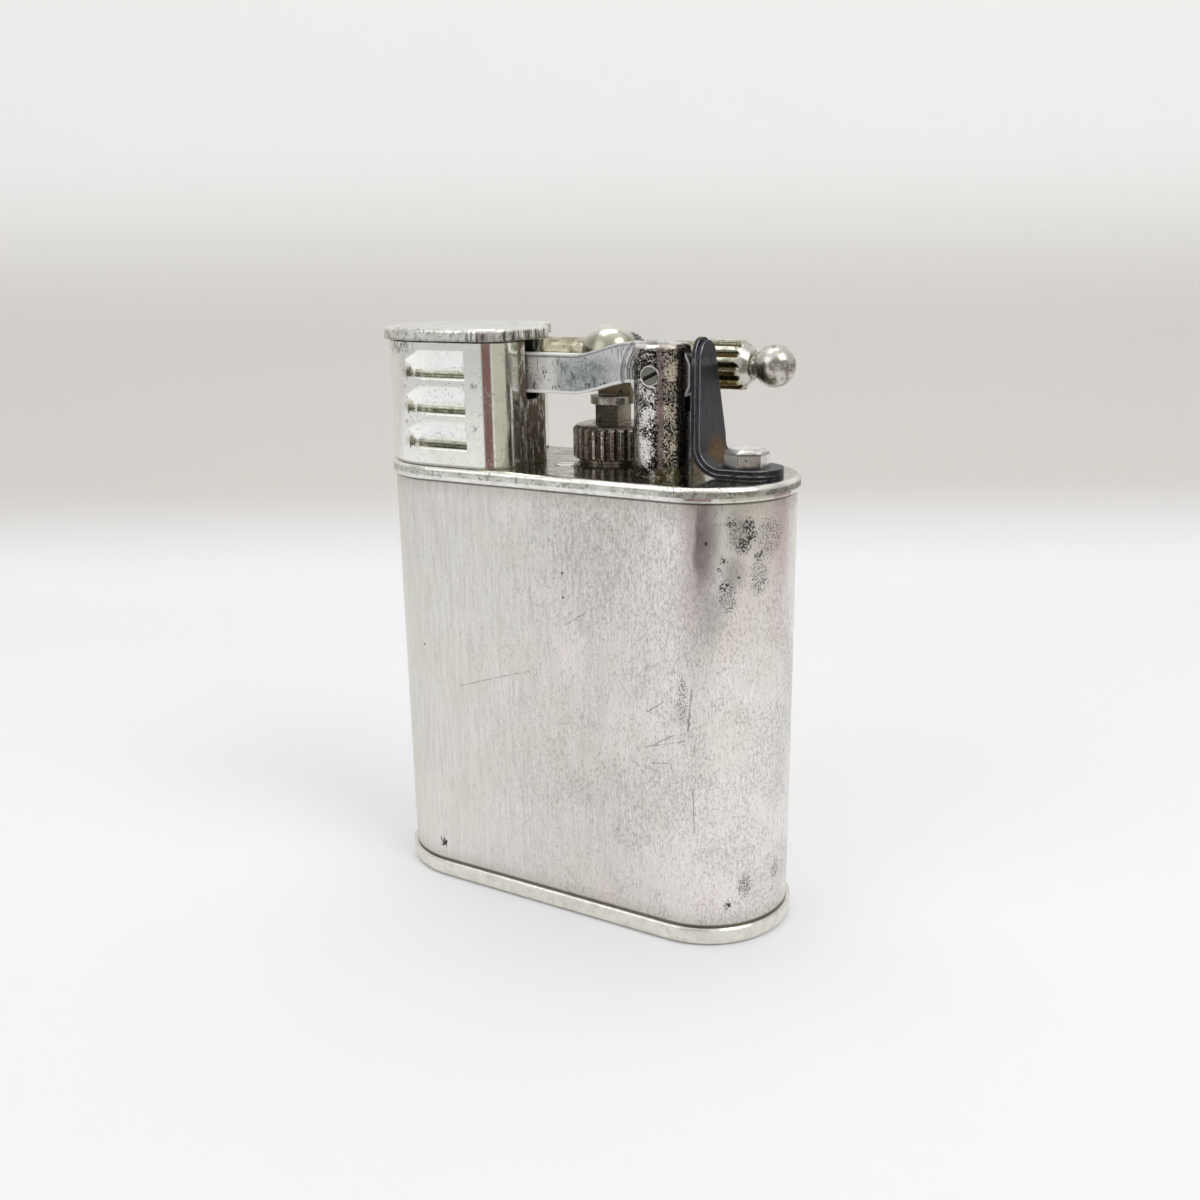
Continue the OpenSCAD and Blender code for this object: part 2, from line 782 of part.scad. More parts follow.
// Points of the flint spring, one unbroken tube
function coil_point(i) =
    [coil_x0 + (coil_x1 - coil_x0) * i / (8 * coil_turns),
     tube_y + coil_r * cos(45 * i), tube_z + coil_r * sin(45 * i)];
function coil_ring(i) =
    let (p = coil_point(i),
         radial = [0, cos(45 * i), sin(45 * i)],
         along = [1, 0, 0])
    [for (k = [0:5]) p + coil_wire * (cos(60 * k) * radial + sin(60 * k) * along)];

module flint_spring() {
    rings = 8 * coil_turns;
    points = [for (i = [0:rings]) each coil_ring(i)];
    sides = [for (i = [0:rings - 1], k = [0:5], h = [0:1])
             let (a = 6 * i + k, b = 6 * i + (k + 1) % 6)
             h == 0 ? [a, b, b + 6] : [a, b + 6, a + 6]];
    ends = [for (k = [1:4], h = [0:1])
            h == 0 ? [0, k + 1, k] : [6 * rings, 6 * rings + k, 6 * rings + k + 1]];
    color([0.55, 0.55, 0.56]) polyhedron(points, concat(sides, ends));
}

module flint_screw() {
    shank_end = flint_x1 + plunger_t + plunger_pin;
    tip_x = barrel_l + tip_l;
    color([0.74, 0.69, 0.55])
        difference() {
            union() {
                translate([barrel_x, tube_y, tube_z]) rotate([0, 90, 0])
                    rotate_extrude()
                        polygon([[0, 0], [barrel_r - 0.15, 0], [barrel_r, 0.15], [barrel_r, barrel_l - 0.1],
                                 [barrel_r - 0.1, barrel_l], [1.35, tip_x], [neck_r, tip_x + 0.1],
                                 [neck_r, tip_x + neck_l + 0.4], [0, tip_x + neck_l + 0.4]]);
                translate([ball_x, tube_y, tube_z]) sphere(r = ball_r);
                rod_x(shank_end, barrel_x + 1, thread_r, tube_y, tube_z);
            }
            for (i = [0:barrel_flutes - 1])
                translate([barrel_x - 0.5, tube_y, tube_z]) rotate([360 / barrel_flutes * i, 0, 0])
                    translate([0, 0, barrel_r + 0.06]) rotate([0, 90, 0])
                        cylinder(h = barrel_l + 0.5 + tip_l * 0.4, r = flute_r, $fn = 16);
            rod_x(shank_end - 1, tube_x1 - spring_well, coil_r + coil_wire + 0.08, tube_y, tube_z);
        }
}

module wheel_standard() {
    post_z = collar_z + collar_h;
    color([0.5, 0.47, 0.42])
        difference() {
            union() {
                translate([wheel_x, standard_y, plate_z - 1]) cylinder(h = post_z - plate_z + 1, r = shank_r);
                translate([wheel_x, standard_y, (post_z + square_top) / 2])
                    cube([square_w, square_w, square_top - post_z + 2 * eps], center = true);
                translate([wheel_x, standard_y, square_top]) cylinder(h = flange_t, r = flange_r);
                box([wheel_x - eye_r, cheek_y0, square_top + eps],
                    [wheel_x + eye_r, cheek_y0 + cheek_t, wheel_z]);
                rod_y(cheek_y0, cheek_y0 + cheek_t, eye_r, wheel_x, wheel_z);
            }
            rod_y(cheek_y0 - 1, cheek_y0 + cheek_t + 1, axle_r + run_gap, wheel_x, wheel_z);
            for (s = [-1, 1])
                translate([wheel_x + s * (eye_r + flange_r), cheek_y0 + cheek_t / 2,
                           square_top + flange_t + 2])
                    cube([2 * flange_r - 0.5, 3, 4], center = true);
        }
}

module collar_washer() {
    color([0.3, 0.28, 0.25])
        translate([wheel_x, standard_y, plate_top])
            difference() {
                cylinder(h = collar_z - plate_top - 0.05, r = collar_r - 0.5);
                translate([0, 0, -1]) cylinder(h = 3, r = shank_r + run_gap);
            }
}

module knurled_collar() {
    color([0.55, 0.51, 0.45])
        translate([wheel_x, standard_y, collar_z])
            difference() {
                rotate_extrude() polygon([[shank_r + run_gap, 0], [collar_r - 0.15, 0], [collar_r, 0.15],
                                          [collar_r, collar_h - 0.45], [collar_r - 0.35, collar_h - 0.1],
                                          [collar_r - 0.7, collar_h], [shank_r + run_gap, collar_h]]);
                for (i = [0:collar_grooves - 1])
                    rotate([0, 0, 360 / collar_grooves * i]) translate([collar_r + 0.08, 0, -1])
                        cylinder(h = collar_h + 2, r = groove_r, $fn = 16);
            }
}

module thumb_dome() {
    color([0.86, 0.85, 0.83])
        difference() {
            translate([wheel_x, dome_back, wheel_z]) rotate([90, 0, 0]) rotate_extrude($fn = 96)
                intersection() {
                    translate([0, dome_back - dome_y]) circle(dome_r, $fn = 96);
                    square([dome_r + 1, 2 * dome_r]);
                }
            rod_y(dome_back - 1.5, dome_back + 1, axle_r + seat_gap, wheel_x, wheel_z);
        }
}

module striker_wheel() {
    tooth = 360 / wheel_teeth;
    color([0.3, 0.3, 0.31])
        difference() {
            rod_y(wheel_y0, wheel_y0 + wheel_w, wheel_r, wheel_x, wheel_z);
            rod_y(wheel_y0 - 1, wheel_y0 + wheel_w + 1, axle_r + seat_gap, wheel_x, wheel_z);
            for (i = [0:wheel_teeth - 1])
                translate([wheel_x, wheel_y0 - 0.5, wheel_z]) rotate([-90, tooth * i, 0])
                    linear_extrude(wheel_w + 1)
                        polygon([[wheel_r - tooth_h, 0], [wheel_r + 0.1, -0.02],
                                 [wheel_r + 0.1, wheel_r * sin(tooth) * 0.8]]);
        }
}

module wheel_axle() {
    color([0.66, 0.65, 0.62])
        rod_y(dome_back - 1.4, wheel_y0 + wheel_w + 0.75, axle_r, wheel_x, wheel_z);
}

module axle_nut() {
    wheel_back = wheel_y0 + wheel_w + seat_gap;
    color([0.68, 0.67, 0.63])
        difference() {
            rod_y(wheel_back, wheel_back + nut_t, nut_r, wheel_x, wheel_z);
            rod_y(wheel_back - 1, wheel_back + 2, axle_r + seat_gap, wheel_x, wheel_z);
        }
}

module filler_screw() {
    color([0.74, 0.7, 0.6])
        translate([filler_x, 0, filler_low])
            difference() {
                union() {
                    rotate_extrude() polygon([[0, 0], [filler_head_r - 0.2, 0], [filler_head_r, 0.2],
                                              [filler_head_r, filler_head_t], [0, filler_head_t]]);
                    cylinder(h = boss_top - filler_low + 0.2, r = filler_neck_r);
                }
                cube([2 * filler_head_r + 1, filler_slot, 0.9], center = true);
            }
}

module filler_washer() {
    color([0.35, 0.2, 0.14])
        translate([filler_x, 0, filler_low + filler_head_t])
            difference() {
                cylinder(h = washer_t, r = filler_head_r - 0.2);
                translate([0, 0, -1]) cylinder(h = 3, r = filler_neck_r + run_gap);
            }
}

case_shell();
base_plate();
top_plate();
tank_packing();
wick();
wick_tube();
windguard();
spark_tube();
snuffer_cap();
snuffer_cup();
snuffer_pad();
lift_arm();
front_column();
pivot_screw();
spring_leaf_outer();
spring_leaf_inner();
spring_screw();
plate_screw();
rear_column();
flint_tube();
flint();
flint_plunger();
flint_spring();
flint_screw();
wheel_standard();
collar_washer();
knurled_collar();
thumb_dome();
striker_wheel();
wheel_axle();
axle_nut();
filler_screw();
filler_washer();
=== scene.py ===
import math

import bmesh
import bpy
from mathutils import Matrix, Vector, noise


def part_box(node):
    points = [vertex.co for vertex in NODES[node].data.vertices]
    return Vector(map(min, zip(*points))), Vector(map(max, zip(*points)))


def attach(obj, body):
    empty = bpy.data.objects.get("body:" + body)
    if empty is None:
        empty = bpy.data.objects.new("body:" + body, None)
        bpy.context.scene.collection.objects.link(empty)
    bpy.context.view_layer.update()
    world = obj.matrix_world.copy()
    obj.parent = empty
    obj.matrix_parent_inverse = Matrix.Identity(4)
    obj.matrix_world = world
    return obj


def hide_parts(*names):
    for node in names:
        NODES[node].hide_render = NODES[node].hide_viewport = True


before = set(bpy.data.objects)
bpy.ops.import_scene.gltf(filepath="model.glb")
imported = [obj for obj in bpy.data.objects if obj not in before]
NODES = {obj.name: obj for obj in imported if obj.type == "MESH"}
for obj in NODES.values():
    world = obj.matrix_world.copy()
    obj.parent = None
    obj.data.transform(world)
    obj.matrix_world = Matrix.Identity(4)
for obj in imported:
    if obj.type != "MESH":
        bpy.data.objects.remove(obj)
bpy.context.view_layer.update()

# Looks for the petrol lighter. The numbers below are in millimetres, Blender's are in metres.
MM = 0.001

# How softly dots and hairlines end, in the noise that draws them
DOT_EDGE = 0.035
HAIR_EDGE = 0.04

# Camera, fitted to the photograph: its frame and its focal length in pixels
FRAME_PX = 1200
FOCAL_PX = 1227
SENSOR = 36.0
LENS = SENSOR * FOCAL_PX / FRAME_PX
NEAREST, FARTHEST = 2.0, 20000.0
CAMERA_AT = Vector((58.350, -95.726, 59.235))
CAMERA_AHEAD = Vector((-0.49378, 0.82820, -0.26506))
CAMERA_UP = Vector((-0.12337, 0.23501, 0.96413))

# Places in the part's own frame that several looks measure from, and a level direction across the column
PIVOT = (9.1, 0.0, 50.05)
COLLAR = (1.4, 2.7, 0.0)
FLINT_TUBE = (0.0, 5.3, 50.35)
ACROSS_COLUMN = (0.8536, 0.521, 0.0)


def linear(r, g, b):
    """Colour from 0 to 255 as seen on a screen, in Blender's own values."""
    def one(v):
        v /= 255
        return v / 12.92 if v <= 0.04045 else ((v + 0.055) / 1.055) ** 2.4
    return one(r), one(g), one(b), 1.0


class Finish:
    """One procedural material, with short calls for its nodes. A mask runs from 0 to 1."""

    def __init__(self, name, seed=0.0):
        self.mat = bpy.data.materials.new(name)
        self.mat.use_nodes = True
        self.tree = self.mat.node_tree
        self.tree.nodes.clear()
        self.bsdf = self.add("ShaderNodeBsdfPrincipled")
        out = self.add("ShaderNodeOutputMaterial")
        self.tree.links.new(self.bsdf.outputs[0], out.inputs["Surface"])
        coords = self.add("ShaderNodeTexCoord")
        self.mm = self.vec("SCALE", coords.outputs["Object"], scale=1 / MM)
        self.p = self.vec("ADD", self.mm, (seed, seed * 1.7, seed * 0.6))
        self.x, self.y, self.z = self.split(self.mm)
        # Added to the roughness of silver, where a piece's own look sets it
        self.rougher = 0.0

    def put(self, socket, value):
        if isinstance(value, bpy.types.NodeSocket):
            self.tree.links.new(value, socket)
        else:
            socket.default_value = value

    def add(self, kind, props=None, **inputs):
        node = self.tree.nodes.new(kind)
        for k, v in (props or {}).items():
            setattr(node, k, v)
        for k, v in inputs.items():
            self.put(node.inputs[k.replace("_", " ")], v)
        return node

    def vec(self, op, a, b=None, scale=None):
        node = self.add("ShaderNodeVectorMath", {"operation": op})
        self.put(node.inputs[0], a)
        if b is not None:
            self.put(node.inputs[1], b)
        if scale is not None:
            self.put(node.inputs["Scale"], scale)
        return node.outputs["Value" if op in ("DISTANCE", "DOT_PRODUCT", "LENGTH") else "Vector"]

    def split(self, v):
        return self.add("ShaderNodeSeparateXYZ", Vector=v).outputs

    def math(self, op, a, b=0.5, clamp=False):
        node = self.add("ShaderNodeMath", {"operation": op, "use_clamp": clamp})
        self.put(node.inputs[0], a)
        self.put(node.inputs[1], b)
        return node.outputs[0]

    def mul(self, *values):
        out = values[0]
        for v in values[1:]:
            out = self.math("MULTIPLY", out, v)
        return out

    def plus(self, *values):
        out = values[0]
        for v in values[1:]:
            out = self.math("ADD", out, v)
        return out

    def most(self, *values):
        out = values[0]
        for v in values[1:]:
            out = self.math("MAXIMUM", out, v)
        return out

    def band(self, v, lo, hi, a=0.0, b=1.0):
        """Smooth step of v from lo to hi, giving a to b."""
        node = self.add("ShaderNodeMapRange", {"interpolation_type": "SMOOTHSTEP"}, Value=v,
                        From_Min=lo, From_Max=hi, To_Min=a, To_Max=b)
        return node.outputs["Result"]

    def stretch(self, *s):
        return self.vec("MULTIPLY", self.p, s)

    def noise(self, v, scale, detail=3.0, rough=0.55, twist=0.0):
        node = self.add("ShaderNodeTexNoise", Vector=v, Scale=scale, Detail=detail,
                        Roughness=rough, Distortion=twist)
        return node.outputs["Fac"]

    def near(self, point, r0, r1):
        """1 within r0 of a point, 0 beyond r1."""
        return self.band(self.vec("DISTANCE", self.mm, point), r0, r1, 1.0, 0.0)

    def oval(self, point, reach, soft=0.4):
        """1 in the middle of an oval, 0 outside it; its reach is given along X, Y and Z."""
        rel = self.vec("DIVIDE", self.vec("SUBTRACT", self.mm, point), reach)
        return self.band(self.vec("LENGTH", rel), soft, 1.0, 1.0, 0.0)

    def mix(self, f, a, b):
        node = self.add("ShaderNodeMix", {"data_type": "RGBA"})
        for i, v in ((0, f), (6, a), (7, b)):
            self.put(node.inputs[i], v)
        return node.outputs[2]

    def grit(self, scale, where, start=0.62, dense=0.14, v=None):
        """Irregular dots that crowd together where the mask is high."""
        n = self.noise(self.p if v is None else v, scale, 2.0, 0.7)
        return self.band(self.plus(n, self.mul(where, dense)), start, start + DOT_EDGE)

    def hair(self, angle, fine=7.0, long=0.35, start=0.66):
        """Straight hairlines in one direction, at an angle from upright in the view from the front."""
        turned = self.add("ShaderNodeVectorRotate", {"rotation_type": "AXIS_ANGLE"}, Vector=self.p,
                          Axis=(0, 1, 0), Angle=math.radians(angle)).outputs[0]
        level = self.noise(self.vec("MULTIPLY", turned, (fine, fine, long)), 1.0, 1.0, 0.5)
        return self.band(level, start, start + HAIR_EDGE)

    def stroke(self, a, b, width):
        """One scratch from a to b, a little shaky."""
        a, b = Vector(a), Vector(b)
        along = b - a
        sway = 0.3
        wobble = self.add("ShaderNodeTexNoise", Vector=self.mm, Scale=1.6).outputs["Color"]
        shaken = self.vec("ADD", self.mm, self.vec("SCALE", wobble, scale=sway))
        rel = self.vec("SUBTRACT", shaken, tuple(a + Vector((sway, sway, sway)) / 2))
        t = self.math("DIVIDE", self.vec("DOT_PRODUCT", rel, tuple(along)), along.length_squared, clamp=True)
        gap = self.vec("DISTANCE", rel, self.vec("SCALE", tuple(along), scale=t))
        return self.band(gap, width * 0.4, width, 1.0, 0.0)

    def ring(self, axis, centre):
        """Distance from a straight axis through a point."""
        rel = self.vec("SUBTRACT", self.mm, centre)
        flat = tuple(0.0 if i == axis else 1.0 for i in range(3))
        return self.vec("LENGTH", self.vec("MULTIPLY", rel, flat))

    def edges(self, radius=0.12, reach=0.2):
        """Where the surface turns sharply, and the rounded normal there, from the shader's own bevel."""
        round_normal = self.add("ShaderNodeBevel", {"samples": 4}, Radius=radius * MM).outputs[0]
        geometry = self.add("ShaderNodeNewGeometry")
        same = self.vec("DOT_PRODUCT", round_normal, geometry.outputs["Normal"])
        return self.band(same, 1 - reach * 0.08, 1 - reach), round_normal

    def done(self, colour, rough, metallic=1.0, height=None, depth=0.02, normal=None, **plain):
        b = self.bsdf.inputs
        self.put(b["Base Color"], colour)
        self.put(b["Roughness"], rough)
        self.put(b["Metallic"], metallic)
        for k, v in plain.items():
            self.put(b[k.replace("_", " ")], v)
        if height is not None:
            bump = self.add("ShaderNodeBump", Strength=1.0, Distance=depth * MM, Height=height)
            if normal is not None:
                self.put(bump.inputs["Normal"], normal)
            self.put(b["Normal"], bump.outputs[0])
        elif normal is not None:
            self.put(b["Normal"], normal)
        return self.mat


SILVER = linear(238, 236, 230)
SILVER_GREY = linear(176, 173, 167)
SMOKE = linear(92, 86, 78)
BROWN = linear(84, 70, 52)
OLIVE = linear(112, 108, 72)
BLACK = linear(28, 25, 22)


def silver(name, seed, rough=0.13, tone=SILVER, tarnish=0.25, stain=SMOKE, speck=0.35, speck_scale=4.0,
           scratch=0.4, edge=0.5, extra=None, lit=None, depth=0.010, round_edge=0.12, edge_tone=SILVER,
           cloudy=0.14, glow=0.3, reach=0.2, metal=1.0):
    """Old silver plate: tarnish, dark specks, hairlines, and edges worn bright, which also paint a highlight
    along them.

    extra changes the dark specks, the tarnish and the tone of one piece; lit adds painted highlights on
    chosen faces.
    """
    f = Finish(name, seed)
    patches = f.mul(f.band(f.noise(f.p, 0.5, 5.0, 0.66, 0.4), 0.48, 0.68), tarnish)
    where = f.band(f.noise(f.p, 0.55, 3.0, 0.6), 0.40, 0.62)
    specks = f.mul(f.grit(speck_scale, where, 0.70, 0.12), speck)
    marks = f.mul(f.most(f.hair(24.0), f.hair(-56.0, 8.0, 0.5), f.hair(86.0, 9.0, 0.4)), scratch)
    rub, normal = f.edges(round_edge, reach)
    # Faces given by lit join the edges here as painted highlights
    if lit:
        rub = f.most(rub, lit(f))
    dark = specks
    if extra:
        dark, patches, tone = extra(f, dark, patches, tone)
    # Edges rubbed clean of tarnish; where glow takes away the metal, a painted highlight as well
    worn = f.mul(rub, edge)
    dark = f.mul(dark, f.math("SUBTRACT", 1.0, worn))
    patches = f.mul(patches, f.math("SUBTRACT", 1.0, worn))
    cloud = f.mix(f.mul(f.band(f.noise(f.p, 1.1, 4.0, 0.6), 0.3, 0.7), cloudy), tone, SMOKE)
    colour = f.mix(patches, cloud, stain)
    colour = f.mix(dark, colour, BLACK)
    colour = f.mix(f.mul(marks, 0.4), colour, SILVER_GREY)
    colour = f.mix(f.mul(worn, 0.7), colour, edge_tone)
    roughness = f.plus(rough, f.mul(patches, 0.25), f.mul(dark, 0.35), f.mul(marks, 0.12),
                       f.mul(f.noise(f.p, 2.2, 4.0, 0.6), 0.05), f.rougher)
    ripple = f.mul(f.noise(f.p, 5.0, 3.0, 0.6), 0.15)
    height = f.math("SUBTRACT", ripple, f.plus(dark, f.mul(marks, 0.3)))
    metallic = f.math("SUBTRACT", metal, f.mul(worn, glow))
    return f.done(colour, roughness, metallic=metallic, height=height, depth=depth, normal=normal)


# Places of black pits on the case: point, inner and outer radius
PIT_CLUSTER = [((18.5, -4.75, 38.3), 0.15, 1.2), ((18.65, -4.55, 37.4), 0.10, 1.125),
               ((17.3, -5.95, 38.6), 0.05, 0.9), ((18.2, -5.1, 36.6), 0.10, 1.425),
               ((16.9, -6.3, 35.4), 0.05, 0.63), ((16.6, -6.5, 34.7), 0.03, 0.39),
               ((17.9, -5.45, 34.0), 0.03, 0.36), ((17.0, -6.2, 33.2), 0.10, 1.05),
               ((15.6, -7.0, 36.9), 0.03, 0.45), ((19.0, -3.9, 35.6), 0.10, 1.05),
               ((17.5, -5.8, 3.9), 0.05, 0.825), ((-12.7, -7.7, 3.6), 0.25, 0.75)]
# Places of fine brown specks on the case: point and reach
SPECK_FIELD = [((19.5, -2.9, 37.2), (1.4, 2.4, 3.0)), ((19.0, -3.8, 33.8), (1.2, 1.8, 2.6)),
               ((17.9, -5.4, 37.6), (1.3, 1.4, 2.2)), ((17.2, -6.0, 32.4), (1.2, 1.2, 2.4)),
               ((18.6, -4.6, 5.6), (1.0, 1.2, 1.7)), ((20.0, -1.2, 6.2), (0.5, 1.0, 1.4)),
               ((13.8, -7.6, 23.3), (0.7, 0.6, 3.4))]
# Scratches on the case: ends and width
SCRATCHES = [((2.2, -7.7, 28.3), (5.3, -7.7, 30.3), 0.07), ((-9.8, -7.7, 20.6), (-1.7, -7.7, 23.4), 0.06),
             ((10.3, -7.7, 18.3), (14.1, -7.6, 19.5), 0.09), ((11.2, -7.7, 18.7), (13.0, -7.7, 19.9), 0.08),
             ((10.5, -7.7, 21.6), (12.1, -7.7, 22.8), 0.08), ((14.6, -7.4, 24.2), (14.3, -7.5, 20.5), 0.12),
             ((14.8, -7.35, 15.1), (14.9, -7.3, 10.8), 0.08), ((12.6, -7.7, 17.2), (11.0, -7.7, 16.9), 0.08)]
# Single dark dots on the case
DOTS = [(2.03, -7.7, 33.0), (2.07, -7.7, 30.8), (-13.9, -7.6, 24.1)]


def satin_case():
    """Brushed silver plate with worn speckle, green clouds, pits and scratches; painted rose reflections and
    shadow lines.
    """
    f = Finish("satin_case", 3.0)
    brush = f.noise(f.stretch(13.0, 13.0, 0.7), 1.0, 4.0, 0.75)
    streak = f.noise(f.stretch(3.6, 3.6, 0.25), 1.0, 3.0, 0.6)
    right = f.band(f.x, -6.0, 9.0)
    grain = f.band(f.x, -12.0, 3.0, 0.35, 1.0)
    worn = f.most(f.near((6.0, -7.7, 36.0), 1.0, 10.0), f.near((13.5, -7.0, 31.0), 1.0, 9.0),
                  f.mul(f.near((12.0, -7.7, 14.0), 1.0, 8.0), 0.75),
                  f.mul(right, f.band(f.noise(f.p, 0.16, 3.0), 0.45, 0.6)))
    crowd = f.plus(f.mul(worn, 0.8), 0.05)
    speckle = f.mul(f.grit(5.2, crowd, 0.61, 0.10, f.stretch(1.0, 1.0, 0.5)), grain)
    fine = f.mul(f.grit(9.0, worn, 0.60, 0.08, f.stretch(1.0, 1.0, 0.35)), grain)
    cluster = f.most(*[f.near(*c) for c in PIT_CLUSTER])
    field = f.most(*[f.oval(*c) for c in SPECK_FIELD])
    pits = f.most(f.grit(5.6, cluster, 0.72, 0.27), f.mul(f.grit(6.5, field, 0.72, 0.165), 0.9),
                  f.mul(f.grit(10.0, field, 0.70, 0.16), 0.7), *[f.near(d, 0.05, 0.16) for d in DOTS])
    marks = f.most(*[f.stroke(*c) for c in SCRATCHES])
    hairs = f.most(f.hair(8.0, 9.0, 0.5), f.hair(-30.0, 9.0, 0.7, 0.69), f.hair(58.0, 9.0, 0.6, 0.70))
    normal = f.edges(0.1)[1]
    tone = f.mix(f.band(streak, 0.34, 0.66), linear(229, 227, 222), linear(215, 212, 206))
    tone = f.mix(f.mul(f.band(f.x, 6.0, 15.0), 0.75), tone, linear(252, 250, 246))
    tone = f.mix(f.mul(f.band(brush, 0.40, 0.62), grain, 0.40), tone, linear(188, 185, 180))
    green = f.most(f.band(f.x, -13.0, -17.5), f.mul(f.band(f.noise(f.p, 0.13, 3.0), 0.42, 0.6), 0.6))
    tone = f.mix(f.mul(green, 0.5), tone, linear(214, 214, 198))
    # Painted reflection: pink low on the case and in clouds at its left, for the hand and camera close above
    # the floor
    blush = f.band(f.noise(f.stretch(1.0, 1.0, 0.5), 0.17, 3.0), 0.48, 0.66)
    rose = f.most(f.mul(f.band(f.z, 14.0, 3.0), 0.8), f.mul(blush, f.band(f.x, -10.0, -1.0)))
    tone = f.mix(f.mul(rose, 0.40), tone, linear(244, 232, 228))
    # Painted reflection: a dark pinkish band down the front-right corner, with darker patches about it, for
    # the camera and the hand holding it
    sway = f.noise(f.stretch(1.0, 1.0, 0.45), 0.8, 3.0, 0.6)
    across = f.plus(f.x, f.band(sway, 0.2, 0.8, -0.25, 0.25))
    up = f.plus(f.z, f.band(sway, 0.3, 0.7, -1.0, 1.0))
    band = f.mul(f.band(across, 14.6, 15.1), f.band(across, 17.2, 15.4), f.band(f.y, 0.0, -1.0),
                 f.band(up, 29.5, 38.0), f.band(f.z, 41.5, 36.0, 0.62, 1.0))
    camera_reflection = f.most(band, f.mul(f.oval((17.6, -5.8, 34.4), (1.5, 1.8, 2.4), 0.1), 0.62),
                    f.mul(f.oval((17.9, -5.4, 38.0), (1.9, 2.0, 3.4), 0.1), 0.42),
                    f.mul(f.oval((16.2, -6.7, 31.0), (1.9, 1.6, 4.4), 0.1), 0.34))
    tone = f.mix(f.mul(camera_reflection, 0.85), tone, linear(126, 117, 117))
    tone = f.mix(f.mul(f.most(speckle, f.mul(fine, 0.8)), 0.32), tone, linear(120, 117, 112))
    tone = f.mix(f.mul(pits, 0.92), tone, linear(38, 35, 32))
    tone = f.mix(f.mul(f.most(marks, f.mul(hairs, 0.3)), 0.6), tone, linear(112, 108, 102))
    # Painted shadow: dark lines under the top plate's overhang and above the base, with painted shade fading
    # out from each
    shadow_lines = f.most(f.band(f.z, 40.0, 40.2), f.band(f.z, 2.1, 1.85))
    shade_fade = f.most(f.band(f.z, 38.6, 40.3), f.band(f.z, 3.6, 1.8))
    tone = f.mix(f.mul(shade_fade, 0.3), tone, linear(150, 146, 132))
    tone = f.mix(f.mul(shadow_lines, 0.85), tone, linear(66, 60, 46))
    rough = f.plus(0.25, f.mul(brush, 0.12), f.mul(speckle, 0.15), f.mul(pits, 0.3))
    height = f.math("SUBTRACT", f.plus(f.mul(brush, grain, 0.45), f.mul(streak, 0.2)),
                    f.plus(f.mul(pits, 1.6), f.mul(marks, 0.5), f.mul(speckle, 0.5), f.mul(fine, 0.3)))
    return f.done(tone, rough, height=height, depth=0.007, normal=normal)


# Height of each louvre's lip on the windguard
LOUVRE_Z = [43.0 + 3.15 * i for i in range(3)]


def guard_extra(f, dark, patches, tone):
    """Grime and painted shade over each louvre's lip, painted shade at its left end, a few marks, and a dull
    right wall with brown streaks.
    """
    span = f.mul(f.band(f.x, -15.2, -14.9), f.band(f.x, -7.0, -7.4), f.band(f.y, -5.5, -6.0))
    dirt = f.noise(f.stretch(1.6, 1.6, 1.0), 1.6, 4.0, 0.75)
    for z in LOUVRE_Z:
        # Grime and painted shade in the pocket over each lip; painted shade at the pocket's left end
        over = f.mul(f.band(f.z, z + 0.1, z + 0.25), f.band(f.z, z + 0.85, z + 0.35),
                     f.band(f.y, -7.42, -7.15))
        left = f.mul(f.near((-14.7, -6.9, z + 0.7), 0.1, 0.8), 0.9)
        patches = f.most(patches, f.mul(f.most(f.mul(over, 0.85), left), span, f.band(dirt, 0.34, 0.62)))
        panel = f.mul(f.band(f.z, z + 0.5, z + 1.1), f.band(f.z, z + 2.75, z + 2.5),
                      f.band(f.y, -7.74, -7.6))
        tone = f.mix(f.mul(panel, span, 0.6), tone, linear(241, 241, 243))
    upper = f.mul(f.near((-15.5, -7.2, 52.2), 0.5, 3.2), f.band(f.z, 51.3, 51.9))
    dark = f.most(dark, f.mul(upper, f.band(dirt, 0.42, 0.60), 0.8))
    seam = f.mul(f.most(f.near((-6.75, -7.7, 49.0), 0.1, 0.5), f.near((-6.9, -7.7, 45.2), 0.1, 0.5)),
                 f.band(dirt, 0.44, 0.56))
    dark = f.most(dark, f.mul(seam, 0.7))
    wall = f.mul(f.band(f.x, -4.5, -4.2), f.band(f.y, -4.7, -4.35))
    streaks = f.noise(f.stretch(2.4, 2.4, 0.7), 1.0, 4.0, 0.75)
    tone = f.mix(f.mul(wall, f.band(streaks, 0.62, 0.50)), tone, linear(124, 111, 95))
    tone = f.mix(f.band(f.x, -11.0, -14.8), tone, linear(255, 255, 250))
    foot = f.mul(f.band(f.z, 41.85, 41.6), 0.7)
    f.rougher = f.mul(wall, 0.34)
    return dark, f.most(patches, foot), tone


